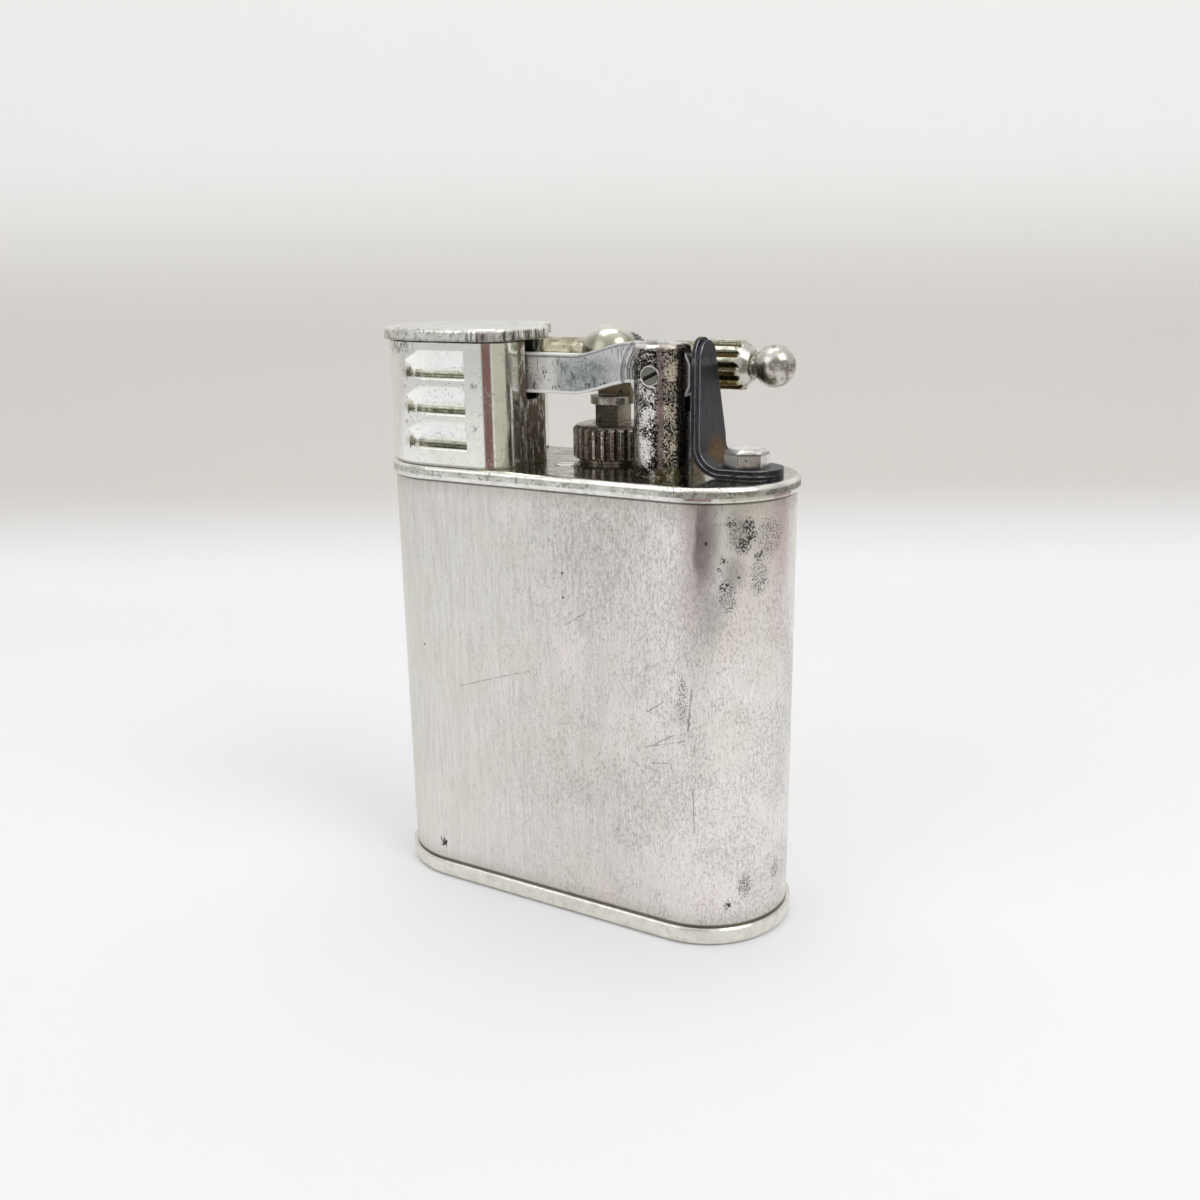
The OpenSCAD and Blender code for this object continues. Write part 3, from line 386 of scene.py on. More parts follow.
def plate_extra(f, dark, patches, tone):
    """The flat of the top plate is dark and mottled, lighter at its right end; its rim is bright."""
    flat = f.band(f.z, 41.50, 41.545)
    mottle = f.noise(f.p, 0.75, 5.0, 0.7, 0.3)
    below = f.mix(f.band(mottle, 0.36, 0.62), linear(90, 83, 73), linear(188, 182, 163))
    below = f.mix(f.band(f.x, 16.0, 19.5), below, linear(186, 182, 170))
    foot = f.near((9.1, -2.2, 41.55), 2.3, 4.2)
    below = f.mix(f.mul(foot, 0.5), below, linear(86, 80, 48))
    pale = f.mul(f.grit(3.0, f.band(mottle, 0.42, 0.6), 0.68, 0.12), 0.8)
    below = f.mix(pale, below, linear(206, 202, 192))
    ledge = f.mul(f.band(f.z, 40.62, 40.72), f.band(f.z, 41.22, 41.12))
    spread = f.noise(f.stretch(1.0, 1.0, 2.0), 0.9, 4.0, 0.7)
    mottled = f.mul(ledge, f.band(spread, 0.40, 0.60, 0.5, 1.0))
    tone = f.mix(f.mul(mottled, 0.8), tone, linear(174, 177, 162))
    rim = f.mul(ledge, f.grit(3.6, f.band(f.noise(f.p, 0.6, 3.0), 0.42, 0.58), 0.62, 0.12))
    patches = f.most(f.mul(patches, f.math("SUBTRACT", 1.0, flat)),
                     f.mul(mottled, f.band(f.x, 11.0, 13.5), 0.6))
    f.rougher = f.mul(ledge, f.band(f.x, 10.0, 13.0), 0.3)
    return f.most(dark, f.mul(rim, 0.4)), patches, f.mix(flat, tone, below)


def cap_extra(f, dark, patches, tone):
    """Olive and black blotches along the cap's edge, and short upright marks at its right end."""
    side = f.band(f.z, 53.75, 53.45)
    blots = f.band(f.noise(f.stretch(1.0, 1.0, 0.8), 1.5, 4.0, 0.75), 0.50, 0.60)
    upright = f.noise(f.stretch(3.2, 3.2, 0.4), 1.0, 3.0, 0.7)
    ticks = f.mul(f.band(f.x, -8.2, -6.6), f.band(upright, 0.48, 0.56))
    low = f.mul(f.band(f.z, 53.0, 52.8), 0.55)
    dark = f.most(dark, f.mul(side, f.most(f.mul(blots, 0.55), f.mul(ticks, 0.85))))
    return dark, f.most(patches, low), tone


def above_middle(f):
    """Height above the strap's middle line, which rises along its bend."""
    return f.math("SUBTRACT", f.z, f.band(f.x, 0.5, 6.5, 49.8, 51.0))


def arm_extra(f, dark, patches, tone):
    """Blue-grey along the strap's middle, dark ticks and pits; painted light, shade, a shadow line and
    reflected arcs round the hub.
    """
    middle = f.mul(f.band(f.x, -2.6, -0.4), f.band(f.x, 6.2, 3.2), f.band(f.z, 51.9, 50.4))
    cloud = f.band(f.noise(f.stretch(1.0, 1.0, 0.6), 1.6, 4.0, 0.7), 0.35, 0.65, 0.45, 1.0)
    tone = f.mix(f.mul(middle, cloud, 0.9), tone, linear(134, 140, 140))
    # Painted light and shade: the strap lighter at its left end and near black at its far right, by the
    # column and spring
    tone = f.mix(f.mul(f.band(f.x, -0.2, -1.8), 0.6), tone, linear(250, 249, 244))
    tone = f.mix(f.band(f.x, 10.9, 11.2), tone, linear(70, 67, 66))
    ticks = f.mul(f.hair(4.0, 6.0, 0.9, 0.64), f.band(f.noise(f.p, 0.7, 2.0), 0.42, 0.55))
    pits = f.grit(6.0, f.mul(middle, cloud), 0.68, 0.10)
    above = above_middle(f)
    # Painted shadow: a thin dark line just under the strap's upper edge
    seam = f.mul(f.band(above, 1.38, 1.46), f.band(above, 1.66, 1.58), f.band(f.x, 7.2, 6.6), 0.6)
    r = f.ring(1, PIVOT)
    # Painted shade: the hub darker right of the pivot; then painted reflections of the rounded shoulder as
    # dark arcs
    tone = f.mix(f.mul(f.band(r, 3.25, 3.05), f.band(f.x, 9.0, 8.8), 0.55), tone, linear(124, 120, 106))
    arcs = [f.mul(f.band(r, a, a + 0.06), f.band(r, a + 0.16, a + 0.10)) for a in (2.55, 2.86, 3.1)]
    arcs = f.mul(f.most(*arcs), f.band(f.noise(f.p, 1.2, 2.0), 0.35, 0.5), f.band(f.x, 8.0, 7.6), 0.8)
    f.rougher = f.mul(f.band(f.x, 1.0, -0.6), 0.28)
    return f.most(dark, f.mul(ticks, 0.65), f.mul(pits, 0.6), seam, arcs), patches, tone


def arm_lit(f):
    """Painted highlights on the strap's upper face and along the lower line of its front, broken up by noise.
    """
    up = f.split(f.add("ShaderNodeTexCoord").outputs["Normal"])[2]
    line = f.most(f.band(up, 0.3, 0.6), f.band(above_middle(f), -1.42, -1.52))
    broken_up = f.band(f.noise(f.stretch(1.0, 1.0, 2.0), 0.8, 3.0, 0.6), 0.30, 0.45, 0.85, 1.0)
    return f.mul(line, broken_up, f.band(f.x, 7.2, 6.4))


def column_extra(f, dark, patches, tone):
    """Crowded pits; a painted rose stripe and tan as reflections; painted black reflection and shade towards
    the spring; olive dirt at the foot.
    """
    clean = f.most(f.near((8.2, -4.5, 43.8), 0.6, 1.8), f.near((7.4, -4.2, 52.0), 0.2, 0.9),
                   f.near((9.1, -4.7, 50.05), 0.75, 1.0))
    crowd = f.mul(f.band(f.noise(f.p, 0.5, 3.0, 0.6), 0.30, 0.55), f.math("SUBTRACT", 1.0, clean),
                  f.band(f.z, 52.45, 52.1))
    # Painted reflection and shade in bands across the camera's view: a rose stripe, tan beside it, then black
    # where the column faces the dark spring and lies in its shadow
    ragged = f.band(f.noise(f.p, 1.4, 3.0, 0.7), 0.3, 0.7, -0.12, 0.12)
    u = f.plus(f.vec("DOT_PRODUCT", f.mm, ACROSS_COLUMN), ragged)
    front = f.band(f.y, -0.8, -1.6)
    stripe = f.mul(f.band(u, 6.02, 6.14), f.band(u, 6.50, 6.40), front)
    tan = f.mul(f.band(u, 6.40, 6.55), front)
    shade = f.mul(f.band(u, 7.50, 7.76), front)
    crowd = f.mul(crowd, f.band(tan, 0.0, 1.0, 1.0, 0.72))
    pits = f.most(f.grit(5.6, crowd, 0.64, 0.21), f.mul(f.grit(10.0, crowd, 0.63, 0.17), 0.85))
    pits = f.mul(pits, f.band(stripe, 0.0, 1.0, 1.0, 0.6))
    tone = f.mix(f.mul(tan, 0.45), tone, linear(206, 190, 164))
    tone = f.mix(f.mul(stripe, 0.6), tone, linear(176, 142, 140))
    tone = f.mix(shade, tone, linear(42, 38, 36))
    foot = f.mul(f.band(f.z, 43.2, 41.8), f.band(f.noise(f.p, 1.6, 3.0), 0.35, 0.55))
    tone = f.mix(foot, tone, OLIVE)
    return f.most(dark, pits), f.mul(patches, 0.6), tone


def standard_extra(f, dark, patches, tone):
    """The square post is dark in front and lighter at its right, under a paler flange."""
    post = f.mul(f.band(f.z, 44.9, 45.0), f.band(f.z, 46.8, 46.7))
    tone = f.mix(f.mul(post, f.band(f.x, 2.59, 2.51)), tone, linear(70, 65, 54))
    flange = f.mul(f.band(f.z, 46.75, 46.82), f.band(f.z, 47.55, 47.45))
    tone = f.mix(flange, tone, linear(206, 202, 190))
    cheek = f.band(f.z, 47.5, 47.6)
    return dark, patches, f.mix(f.mul(cheek, 0.8), tone, linear(104, 92, 62))


def collar_extra(f, dark, patches, tone):
    """Brown dirt in the knurls, bright flecks on their ridges."""
    r = f.ring(2, COLLAR)
    hollow = f.mul(f.band(r, 3.72, 3.52), f.band(r, 3.3, 3.4))
    flecks = f.mul(f.grit(3.4, f.band(r, 3.66, 3.74), 0.66, 0.12), 0.9)
    tone = f.mix(f.mul(hollow, 0.85), tone, linear(54, 44, 34))
    return dark, patches, f.mix(flecks, tone, SILVER)


def dome_extra(f, dark, patches, tone):
    """Olive tarnish low on the dome, partly painted shade beside the arm."""
    low = f.mul(f.band(f.z, 53.7, 52.4), 0.65)
    return dark, f.most(patches, low), tone


def screw_extra(f, dark, patches, tone):
    """Dark outlines round the hexagon, its facet towards the camera painted grey-tan as a reflection, and
    olive dirt at its foot.
    """
    side = f.mul(f.band(f.z, 42.3, 42.4), f.band(f.z, 43.7, 43.55))
    foot = f.mul(f.band(f.z, 42.75, 42.4), f.band(f.noise(f.p, 2.4, 3.0), 0.4, 0.55))
    line = f.mul(f.band(f.z, 43.62, 43.56), f.band(f.z, 43.40, 43.48))
    # Painted reflection: the facet that faces the camera turns darker grey-tan
    ahead = f.vec("DOT_PRODUCT", f.add("ShaderNodeTexCoord").outputs["Normal"], (0.5, -0.866, 0.0))
    tone = f.mix(f.mul(side, f.band(ahead, 0.90, 0.97), 0.75), tone, linear(128, 118, 102))
    rim = f.mul(f.edges(0.14, 0.1)[0], f.band(f.z, 42.5, 42.7))
    return f.most(dark, f.mul(side, line, 0.6), f.mul(rim, 0.9)), f.most(patches, f.mul(foot, 0.8)), tone


def slotted_extra(f, dark, patches, tone):
    """A slotted head, dark deep in its slot, with a dark seam round it."""
    deep = f.band(f.y, -4.56, -4.50)
    seam = f.band(f.ring(1, PIVOT), 0.68, 0.74)
    return f.most(dark, f.mul(deep, 0.95), f.mul(seam, 0.6)), patches, tone


def blued(name, seed):
    """Blued steel with bright scratched edges and rust low on the blade."""
    f = Finish(name, seed)
    rub, normal = f.edges(0.15)
    front = f.band(f.y, -1.6, -2.4, 0.3, 1.0)
    worn = f.mul(rub, front, f.band(f.noise(f.p, 1.6, 4.0, 0.7), 0.32, 0.46))
    fine = f.noise(f.stretch(3.0, 3.0, 0.5), 1.0, 4.0, 0.65)
    marks = f.mul(f.most(f.hair(10.0, 8.0, 0.6, 0.68), f.hair(-70.0, 8.0, 0.9, 0.70)), 0.5)
    low = f.near((13.0, 0.4, 43.0), 0.9, 2.5)
    rust = f.mul(low, f.band(f.noise(f.p, 2.6, 4.0, 0.75), 0.38, 0.54))
    rubbed = f.band(f.noise(f.stretch(6.0, 6.0, 2.0), 1.0), 0.45, 0.6)
    band = f.mul(f.band(f.z, 50.6, 51.0), f.band(f.z, 51.7, 51.3), rubbed)
    tone = f.mix(f.band(fine, 0.35, 0.65), linear(38, 39, 43), linear(58, 60, 66))
    tone = f.mix(f.mul(marks, 0.5), tone, linear(120, 122, 128))
    tone = f.mix(f.mul(band, 0.5), tone, linear(140, 142, 146))
    tone = f.mix(f.mul(worn, 0.95), tone, linear(196, 198, 200))
    rusty = f.mix(f.band(f.noise(f.p, 4.0, 2.0), 0.4, 0.6), linear(142, 98, 60), linear(124, 114, 78))
    tone = f.mix(f.mul(rust, 0.9), tone, rusty)
    rough = f.plus(0.30, f.mul(fine, 0.16), f.mul(rust, 0.4))
    height = f.math("SUBTRACT", f.mul(fine, 0.4), f.plus(f.mul(marks, 0.5), f.mul(rust, 0.4)))
    return f.done(tone, rough, metallic=0.9, height=height, depth=0.01, normal=normal)


def brass(name, seed, tone, grime=0.7, rough=0.18, flutes=False):
    """Stained brass; on the flint screw the flutes are brown between worn ridges and the ball is silver."""
    f = Finish(name, seed)
    rub, normal = f.edges(0.12)
    patches = f.band(f.noise(f.p, 0.8, 4.0, 0.65, 0.5), 0.40, 0.62)
    specks = f.mul(f.grit(4.5, patches, 0.66, 0.10), 0.5)
    colour = f.mix(f.mul(patches, 0.2), tone, BLACK)
    colour = f.mix(f.mul(f.band(f.noise(f.p, 1.5, 4.0, 0.7), 0.42, 0.62), grime), colour, OLIVE)
    if flutes:
        r = f.ring(0, FLINT_TUBE)
        under = f.band(f.z, 51.2, 49.0)
        colour = f.mix(under, f.mix(patches, linear(200, 199, 186), linear(140, 137, 116)),
                       f.mix(patches, linear(168, 150, 96), linear(104, 88, 48)))
        colour = f.mix(f.band(r, 2.10, 1.92), colour, linear(66, 54, 30))
        stained = f.mul(f.band(f.noise(f.p, 1.1, 3.0), 0.48, 0.64), 0.6)
        shine = f.mix(stained, linear(200, 197, 188), linear(84, 80, 64))
        ball = f.band(f.x, 13.25, 13.55)
        lower = f.mul(f.near((15.2, 3.9, 49.6), 0.3, 1.3), f.band(f.noise(f.p, 1.8, 3.0), 0.38, 0.56))
        colour = f.mix(ball, colour, f.mix(f.mul(lower, 0.9), shine, linear(84, 76, 44)))
    colour = f.mix(specks, colour, BROWN)
    colour = f.mix(f.mul(rub, 0.6), colour, linear(232, 226, 204))
    roughness = f.plus(rough, f.mul(patches, 0.08), f.mul(specks, 0.25))
    height = f.math("SUBTRACT", f.mul(patches, 0.2), specks)
    return f.done(colour, roughness, height=height, depth=0.012, normal=normal)


def soft(name, tone, shade, scale, metallic=0.0):
    """Cotton, felt or fibre."""
    f = Finish(name, 5.0)
    strands = f.noise(f.stretch(1.0, 1.0, 0.4), scale, 5.0, 0.7, 0.8)
    spots = f.noise(f.p, scale * 0.25, 3.0)
    colour = f.mix(f.band(strands, 0.35, 0.65), shade, tone)
    colour = f.mix(f.mul(f.band(spots, 0.5, 0.7), 0.4), colour, shade)
    return f.done(colour, 0.9, metallic=metallic, height=strands, depth=0.08, Sheen_Weight=0.3)


def use(material, *names):
    """Puts one material on all slots of these nodes."""
    for n in names:
        obj = NODES[n]
        if not obj.material_slots:
            obj.data.materials.append(material)
        for s in obj.material_slots:
            s.material = material


use(satin_case(), "case_shell")
use(silver("base_rim", 11.0, rough=0.10, tone=linear(239, 238, 228), tarnish=0.12, stain=OLIVE, speck=0.2,
           scratch=0.5, round_edge=0.3, edge=0.4), "base_plate")
use(silver("guard_plate", 21.0, rough=0.10, tone=linear(240, 241, 231), tarnish=0.06, stain=OLIVE, speck=0.35,
           extra=guard_extra, cloudy=0.05), "windguard")
use(silver("cap_plate", 31.0, rough=0.14, tone=linear(244, 244, 238), tarnish=0.3, stain=OLIVE, speck=0.7,
           extra=cap_extra), "snuffer_cap")
# The arm's edges and lit faces are painted near white as highlights
use(silver("arm_plate", 41.0, rough=0.16, tone=linear(222, 223, 222), tarnish=0.25,
           stain=linear(120, 118, 112), speck=0.8, speck_scale=3.2, extra=arm_extra, lit=arm_lit, edge=1.0,
           round_edge=0.34, edge_tone=linear(252, 252, 248), glow=0.85, reach=0.08), "lift_arm")
use(silver("plate_top_mottled", 51.0, rough=0.10, tone=linear(242, 241, 234), tarnish=0.2, stain=BROWN,
           speck=0.6, scratch=0.7, extra=plate_extra, round_edge=0.3, edge=0.4), "top_plate")
use(silver("ball_polish", 61.0, rough=0.05, tone=linear(226, 226, 216), tarnish=0.06, stain=OLIVE, speck=0.12,
           scratch=0.3, extra=dome_extra), "thumb_dome")
use(silver("hex_screw_plate", 71.0, rough=0.14, tone=linear(250, 249, 242), tarnish=0.3, speck=0.7,
           extra=screw_extra, round_edge=0.3, edge=0.0, metal=0.6), "spring_screw")
use(silver("plate_screw_plate", 75.0, rough=0.10, tone=linear(250, 246, 244), tarnish=0.15, speck=0.4,
           round_edge=0.2, glow=0.6), "plate_screw")
use(silver("column_pitted", 81.0, rough=0.12, tone=linear(236, 234, 228), tarnish=0.4,
           stain=linear(112, 96, 84), speck=0.9, extra=column_extra, depth=0.02, round_edge=0.2, glow=0.6),
    "front_column")
use(silver("standard_tarnish", 91.0, rough=0.26, tone=linear(150, 144, 130), tarnish=0.6, stain=BROWN,
           speck=0.9, speck_scale=2.6, extra=standard_extra, depth=0.02), "wheel_standard")
use(silver("collar_tarnish", 95.0, rough=0.2, tone=linear(160, 152, 138), tarnish=0.7, stain=BROWN,
           speck=0.9, speck_scale=2.6, extra=collar_extra, depth=0.02), "knurled_collar")
use(silver("rear_tarnish", 97.0, rough=0.22, tone=linear(156, 148, 132), tarnish=0.7, stain=BROWN,
           speck=0.9, speck_scale=2.6, depth=0.02), "rear_column", "collar_washer")
use(silver("tube_tarnish", 101.0, rough=0.2, tone=linear(190, 184, 160), tarnish=0.8, stain=OLIVE, speck=0.8),
    "spark_tube", "snuffer_cup")
use(blued("spring_blue_outer", 111.0), "spring_leaf_outer")
use(blued("spring_blue_inner", 117.0), "spring_leaf_inner")
use(brass("screw_brass", 121.0, linear(206, 198, 168), rough=0.24, flutes=True), "flint_screw")
use(brass("tube_brass", 127.0, linear(190, 180, 146)), "flint_tube", "axle_nut", "filler_screw")
use(silver("pivot_screw_grey", 131.0, rough=0.2, tone=linear(124, 124, 112), tarnish=0.5, speck=0.5,
           extra=slotted_extra, round_edge=0.06), "pivot_screw")
use(brass("inner_brass", 141.0, linear(206, 176, 110), grime=0.4), "wick_tube", "flint_plunger")
use(silver("wheel_steel", 151.0, rough=0.3, tone=linear(128, 127, 125), tarnish=0.6, stain=linear(60, 52, 44),
           speck=0.6, scratch=0.5, edge=0.8), "striker_wheel", "wheel_axle", "flint_spring")
use(soft("flint_grey", linear(92, 90, 88), linear(58, 56, 54), 2.5, metallic=0.6), "flint")
use(soft("washer_fibre", linear(96, 58, 42), linear(60, 36, 26), 4.0), "filler_washer")


# Soft pieces in place of their plain solids
def limits(node):
    """A node's lowest and highest corners in millimetres."""
    return [Vector(v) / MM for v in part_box(node)]


def tube_mesh(bm, path, radius, sides=8):
    """Closed round strand along a path of points, with a radius for each point."""
    turns = [2 * math.pi * k / sides for k in range(sides)]
    rings, a = [], None
    for i, p in enumerate(path):
        ahead = (path[min(i + 1, len(path) - 1)] - path[max(i - 1, 0)]).normalized()
        a = (ahead.orthogonal() if a is None else a - ahead * a.dot(ahead)).normalized()
        b = ahead.cross(a)
        spokes = [(a * math.cos(t) + b * math.sin(t)) * radius[i] for t in turns]
        rings.append([bm.verts.new((p + spoke) * MM) for spoke in spokes])
    for r0, r1 in zip(rings, rings[1:]):
        for k in range(sides):
            bm.faces.new((r0[k], r0[(k + 1) % sides], r1[(k + 1) % sides], r1[k]))
    bm.faces.new(rings[0][::-1])
    bm.faces.new(rings[-1])


def loops_mesh(bm, loops, low, high):
    """Closed skin over a stack of loops, with a pole point at each end."""
    rings = [[bm.verts.new(p * MM) for p in loop] for loop in loops]
    n = len(rings[0])
    for r0, r1 in zip(rings, rings[1:]):
        for k in range(n):
            bm.faces.new((r0[k], r0[(k + 1) % n], r1[(k + 1) % n], r1[k]))
    for pole, ring, order in ((low, rings[0], -1), (high, rings[-1], 1)):
        tip = bm.verts.new(pole * MM)
        for k in range(n):
            pair = (ring[k], ring[(k + 1) % n])[::order]
            bm.faces.new((*pair, tip))


def as_object(name, bm, material, smooth=True):
    """The drawn mesh as an object of the scene."""
    mesh = bpy.data.meshes.new(name)
    bm.to_mesh(mesh)
    bm.free()
    if smooth:
        mesh.shade_smooth()
    mesh.materials.append(material)
    obj = bpy.data.objects.new(name, mesh)
    bpy.context.scene.collection.objects.link(obj)
    return obj


def piece(name, bm, material, body, node):
    """A soft piece that rides on a body in place of a node."""
    bmesh.ops.recalc_face_normals(bm, faces=bm.faces[:])
    obj = as_object(name, bm, material)
    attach(obj, body)
    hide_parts(node)
    return obj


def make_wick():
    """Six strands twisted round a seventh, each frayed into a few fibres at the tip."""
    low, high = limits("wick")
    centre = (low + high) / 2
    outer = (high.x - low.x) / 2
    tip_reach = outer * 0.95
    strand = outer * 0.345
    orbit = outer - strand
    pitch, step, frayed = 7.0, 0.45, 1.5
    count = int((high.z - low.z) / step)
    bm = bmesh.new()
    for s in range(7):
        path, radius = [], []
        for i in range(count + 1):
            z = low.z + (high.z - low.z - (0.25 * (s % 3))) * i / count
            a = 2 * math.pi * (z / pitch + s / 6)
            open_out = max(0.0, (z - (high.z - frayed)) / frayed)
            r = 0.0 if s == 6 else orbit * (1.0 - 0.12 * open_out * (s % 2))
            path.append(Vector((centre.x + r * math.cos(a), centre.y + r * math.sin(a), z)))
            radius.append(strand * (1 + 0.06 * math.sin(3.1 * z + s)) * (1 - 0.45 * open_out ** 2))
        tube_mesh(bm, path, radius)
        for k in range(5):
            a = 2.4 * k + s
            root = path[-2]
            tip = root + Vector((math.cos(a) * 0.2, math.sin(a) * 0.2, 0.32 + 0.05 * (k % 3)))
            tip.z = min(tip.z, high.z)
            away = Vector((tip.x - centre.x, tip.y - centre.y, 0))
            if away.length > tip_reach:
                tip -= away * (1 - tip_reach / away.length)
            bend = (root * 2 + tip) / 3 + Vector((0, 0, 0.05))
            tube_mesh(bm, [root, bend, tip], [0.07, 0.05, 0.02], sides=5)
    cotton = soft("wick_cotton", linear(222, 210, 182), linear(150, 132, 100), 5.0)
    piece("wick_twisted", bm, cotton, "case", "wick")


def make_packing():
    """Cotton wadding: crowned at both ends, lumpy at its sides, with a well for the wick."""
    low, high = limits("tank_packing")
    wick_low, wick_high = limits("wick")
    axis = (wick_low + wick_high) / 2
    well_r = (wick_high.x - wick_low.x) / 2 + 0.15
    end_r = (high.y - low.y) / 2
    end_c = (high.x - low.x) / 2 - end_r
    around = 96

    def reach(a):
        """Distance from the wick's axis to the outline in a direction."""
        d = Vector((math.cos(a), math.sin(a)))
        best, span = 0.0, 2 * (end_c + end_r)
        for _ in range(24):
            span /= 2
            x, y = axis.x + d.x * (best + span), axis.y + d.y * (best + span)
            if math.hypot(max(abs(x) - end_c, 0.0), y) < end_r:
                best += span
        return best

    far = [reach(2 * math.pi * k / around) for k in range(around)]

    middle = (low.z + high.z) / 2

    def loop(share, z, swell):
        """Points round the wick at a share of the way out, drawn in by lumps where swell is 1."""
        out = []
        for k in range(around):
            a = 2 * math.pi * k / around
            r = well_r + (far[k] - well_r) * share
            p = Vector((axis.x + r * math.cos(a), axis.y + r * math.sin(a), z))
            lump = noise.noise(p * 0.35) * 0.5 + noise.noise(p * 0.9) * 0.3
            inward = swell * (0.35 + 0.45 * (lump + 0.4))
            r = max(r - max(inward, 0.0), well_r)
            rise = swell * (lump - 0.8) * 0.25 * (1 if z > middle else -1)
            out.append(Vector((axis.x + r * math.cos(a), axis.y + r * math.sin(a), z + rise)))
        return out

    crown, steps, well_steps, under_wick = 1.6, 30, 8, 0.25
    shares = [0.12 + 0.11 * i for i in range(9)]
    loops = [loop(share, low.z + crown * share ** 4, 1.0) for share in shares]
    for i in range(1, steps):
        loops.append(loop(1.0, low.z + crown + (high.z - low.z - 2 * crown) * i / steps, 1.0))
    loops += [loop(share, high.z - crown * share ** 4, 1.0) for share in shares[::-1]]
    well_top, well_foot = high.z - 0.3, wick_low.z - under_wick
    for i in range(well_steps + 1):
        loops.append(loop(0.0, well_top - (well_top - well_foot) * i / well_steps, 0.0))
    bm = bmesh.new()
    loops_mesh(bm, loops, Vector((axis.x, axis.y, low.z + 0.1)), Vector((axis.x, axis.y, well_foot)))
    cotton = soft("packing_cotton", linear(232, 226, 212), linear(190, 182, 164), 3.0)
    obj = piece("packing_wadding", bm, cotton, "case", "tank_packing")


def make_pad():
    """Felt disc with rounded edges, dented where it meets the wick."""
    low, high = limits("snuffer_pad")
    centre = (low + high) / 2
    r = (high.x - low.x) / 2
    t = high.z - low.z
    around = 48
    # Share of the radius and share of the thickness, from the dent underneath to the top
    outline = [(0.25, 0.16), (0.5, 0.10), (0.75, 0.02), (0.93, 0.04), (0.99, 0.22), (1.0, 0.5),
               (0.99, 0.8), (0.94, 0.96), (0.7, 1.0), (0.35, 1.0)]
    loops = []
    for share, up in outline:
        ring = []
        for k in range(around):
            a = 2 * math.pi * k / around
            p = Vector((math.cos(a) * share, math.sin(a) * share, up))
            fuzz = noise.noise(p * 4.0) * 0.012
            out = r * (1 + min(fuzz, 0))
            ring.append(centre + Vector((p.x * out, p.y * out, (up - 0.5) * t * (1 - abs(fuzz) * 2))))
        loops.append(ring)
    bm = bmesh.new()
    loops_mesh(bm, loops, centre + Vector((0, 0, -0.32 * t)), centre + Vector((0, 0, 0.5 * t)))
    fibre = soft("pad_fibre", linear(130, 96, 66), linear(78, 54, 36), 4.0)
    obj = piece("snuffer_felt", bm, fibre, "arm", "snuffer_pad")


make_wick()
make_packing()
make_pad()


# Floor and backdrop
def stage_material(name):
    """Pale paper with painted shade where it turns up behind the object, pale again higher up."""
    f = Finish(name)
    colour = f.mix(f.band(f.z, 2.0, 18.0), linear(243, 243, 245), linear(212, 209, 203))
    colour = f.mix(f.band(f.z, 42.0, 85.0), colour, linear(243, 242, 239))
    return f.done(colour, 0.75, metallic=0.0)


def sweep(name, material, front, distance, width, height, bend):
    """Floor that turns up into a wall behind the object, square to the camera's view from above."""
    ahead = Vector((CAMERA_AHEAD.x, CAMERA_AHEAD.y, 0)).normalized()
    side = Vector((ahead.y, -ahead.x, 0))
    rows = [(-front, 0.0), (distance - bend, 0.0)]
    steps = 16
    for i in range(1, steps + 1):
        a = math.pi / 2 * i / steps
        rows.append((distance - bend + bend * math.sin(a), bend - bend * math.cos(a)))
    rows.append((distance, height))
    bm = bmesh.new()
    made = []
    for d, z in rows:
        ends = [ahead * d + side * s * width + Vector((0, 0, z)) for s in (-1, 1)]
        made.append([bm.verts.new(p * MM) for p in ends])
    for a, b in zip(made, made[1:]):
        bm.faces.new((a[0], a[1], b[1], b[0]))
    as_object(name, bm, material)


sweep("stage_sweep", stage_material("stage_paper"), front=900.0, distance=150.0, width=900.0, height=700.0,
      bend=60.0)


def reflected_card(name, tone, azimuth, distance, width, low, high):
    """Stands in for what stood beside the camera: only polished metal sees it."""
    a = math.radians(azimuth)
    out = Vector((math.sin(a), -math.cos(a), 0))
    side = Vector((math.cos(a), math.sin(a), 0)) * width / 2
    bm = bmesh.new()
    corners = [out * distance + side * s + Vector((0, 0, z))
               for s, z in ((-1, low), (1, low), (1, high), (-1, high))]
    bm.faces.new([bm.verts.new(p * MM) for p in corners])
    obj = as_object(name, bm, Finish(name).done(tone, 0.9, metallic=0.0), smooth=False)
    obj.visible_camera = obj.visible_diffuse = obj.visible_shadow = obj.visible_transmission = False


reflected_card("stage_card_rose", linear(128, 94, 92), azimuth=18, distance=125, width=76, low=0, high=66)
reflected_card("stage_card_beige", linear(202, 197, 184), azimuth=74, distance=118, width=150, low=6, high=60)
reflected_card("stage_card_side", linear(164, 132, 127), azimuth=125, distance=125, width=76, low=6, high=26)


# Light
def softbox(name, at, aim, size, power):
    """A rectangular lamp at a place, turned towards its aim."""
    data = bpy.data.lights.new(name, "AREA")
    data.shape = "RECTANGLE"
    data.size, data.size_y = size[0] * MM, size[1] * MM
    data.energy = power
    obj = bpy.data.objects.new(name, data)
    obj.location = Vector(at) * MM
    obj.rotation_mode = "QUATERNION"
    obj.rotation_quaternion = (Vector(aim) - Vector(at)).to_track_quat("-Z", "Y")
    bpy.context.scene.collection.objects.link(obj)


softbox("key", (300, -60, 360), (0, 0, 30), (220, 220), 0.55)
softbox("top", (-80, 60, 420), (0, 0, 30), (300, 200), 0.3)
softbox("front", (-160, -330, 260), (0, 0, 25), (260, 260), 0.25)

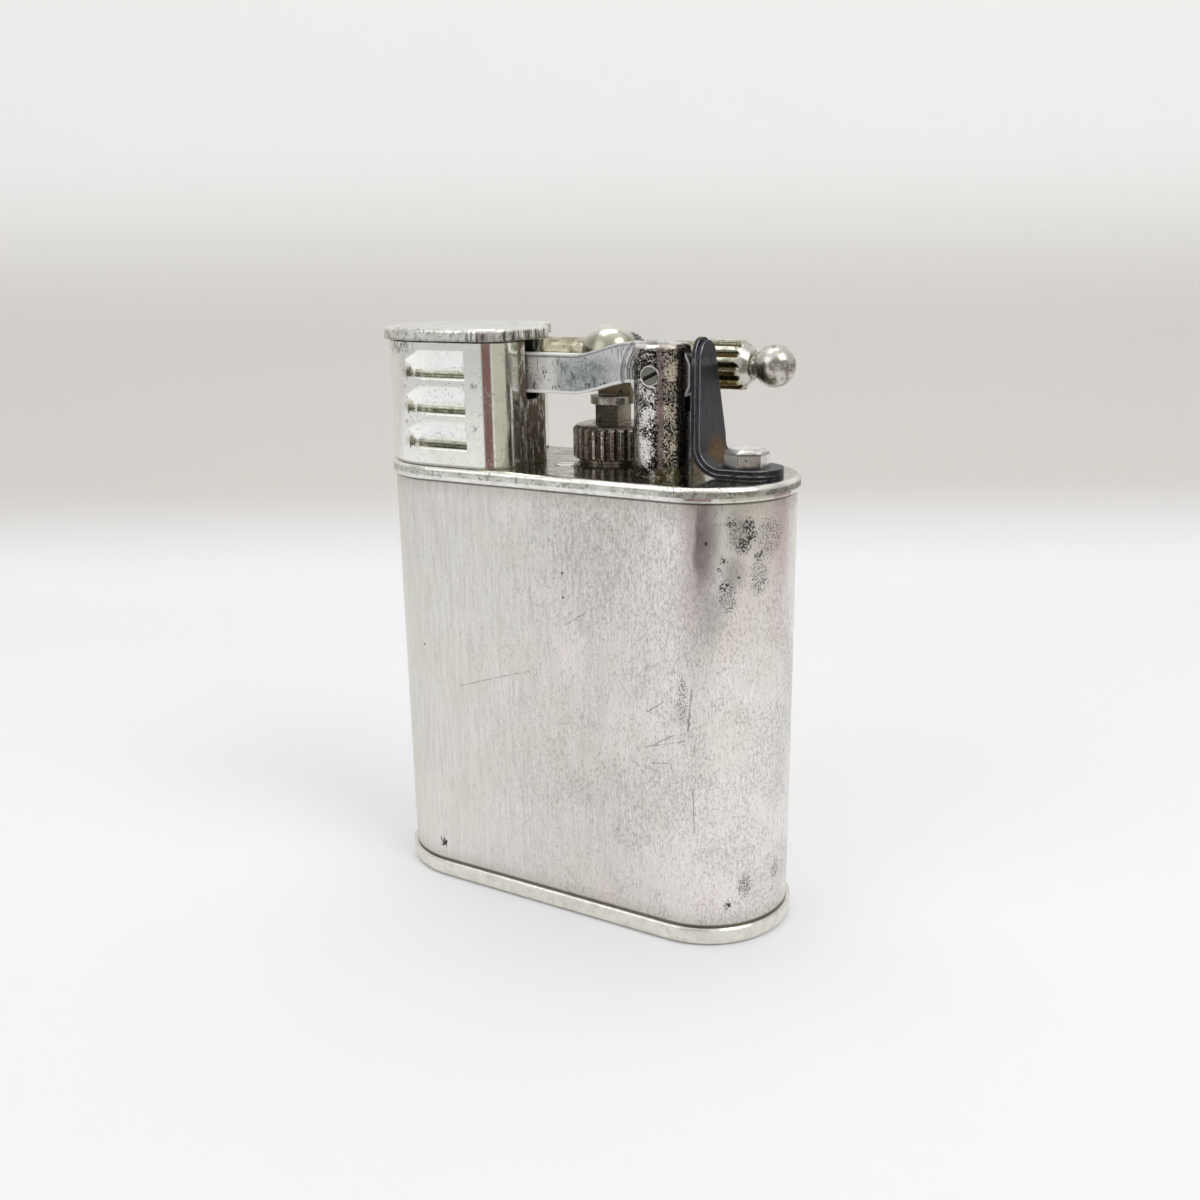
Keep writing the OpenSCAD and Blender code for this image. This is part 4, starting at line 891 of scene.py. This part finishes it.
# Brightness of the world, and the slope from which up its ceiling begins and is full
WORLD_TONE = (0.62, 0.62, 0.63, 1.0)
CEILING_START, CEILING_FULL = 0.45, 0.80

world = bpy.data.worlds.new("studio")
bpy.context.scene.world = world
world.use_nodes = True
sky = world.node_tree
ground = sky.nodes["Background"]
ground.inputs["Color"].default_value = WORLD_TONE
ground.inputs["Strength"].default_value = 1.0
# A white ceiling that only polished metal shows
ceiling = sky.nodes.new("ShaderNodeBackground")
ceiling.inputs["Color"].default_value = (1.0, 1.0, 1.0, 1.0)
way = sky.nodes.new("ShaderNodeSeparateXYZ")
sky.links.new(sky.nodes.new("ShaderNodeTexCoord").outputs["Generated"], way.inputs[0])
high = sky.nodes.new("ShaderNodeMapRange")
high.interpolation_type = "SMOOTHSTEP"
high.inputs["From Min"].default_value = CEILING_START
high.inputs["From Max"].default_value = CEILING_FULL
sky.links.new(way.outputs["Z"], high.inputs["Value"])
seen = sky.nodes.new("ShaderNodeMath")
seen.operation = "MULTIPLY"
sky.links.new(high.outputs["Result"], seen.inputs[0])
sky.links.new(sky.nodes.new("ShaderNodeLightPath").outputs["Is Glossy Ray"], seen.inputs[1])
both = sky.nodes.new("ShaderNodeMixShader")
sky.links.new(seen.outputs[0], both.inputs[0])
sky.links.new(ground.outputs[0], both.inputs[1])
sky.links.new(ceiling.outputs[0], both.inputs[2])
sky.links.new(both.outputs[0], sky.nodes["World Output"].inputs["Surface"])

# Camera
camera = bpy.data.objects.new("camera", bpy.data.cameras.new("camera"))
camera.data.sensor_width = SENSOR
camera.data.lens = LENS
camera.data.clip_start, camera.data.clip_end = NEAREST * MM, FARTHEST * MM
back = -CAMERA_AHEAD.normalized()
right = CAMERA_UP.cross(back).normalized()
up = back.cross(right)
turn = Matrix((right, up, back)).transposed().to_4x4()
camera.matrix_world = Matrix.Translation(CAMERA_AT * MM) @ turn
bpy.context.scene.collection.objects.link(camera)
bpy.context.scene.camera = camera
bpy.context.scene.view_settings.view_transform = "Standard"
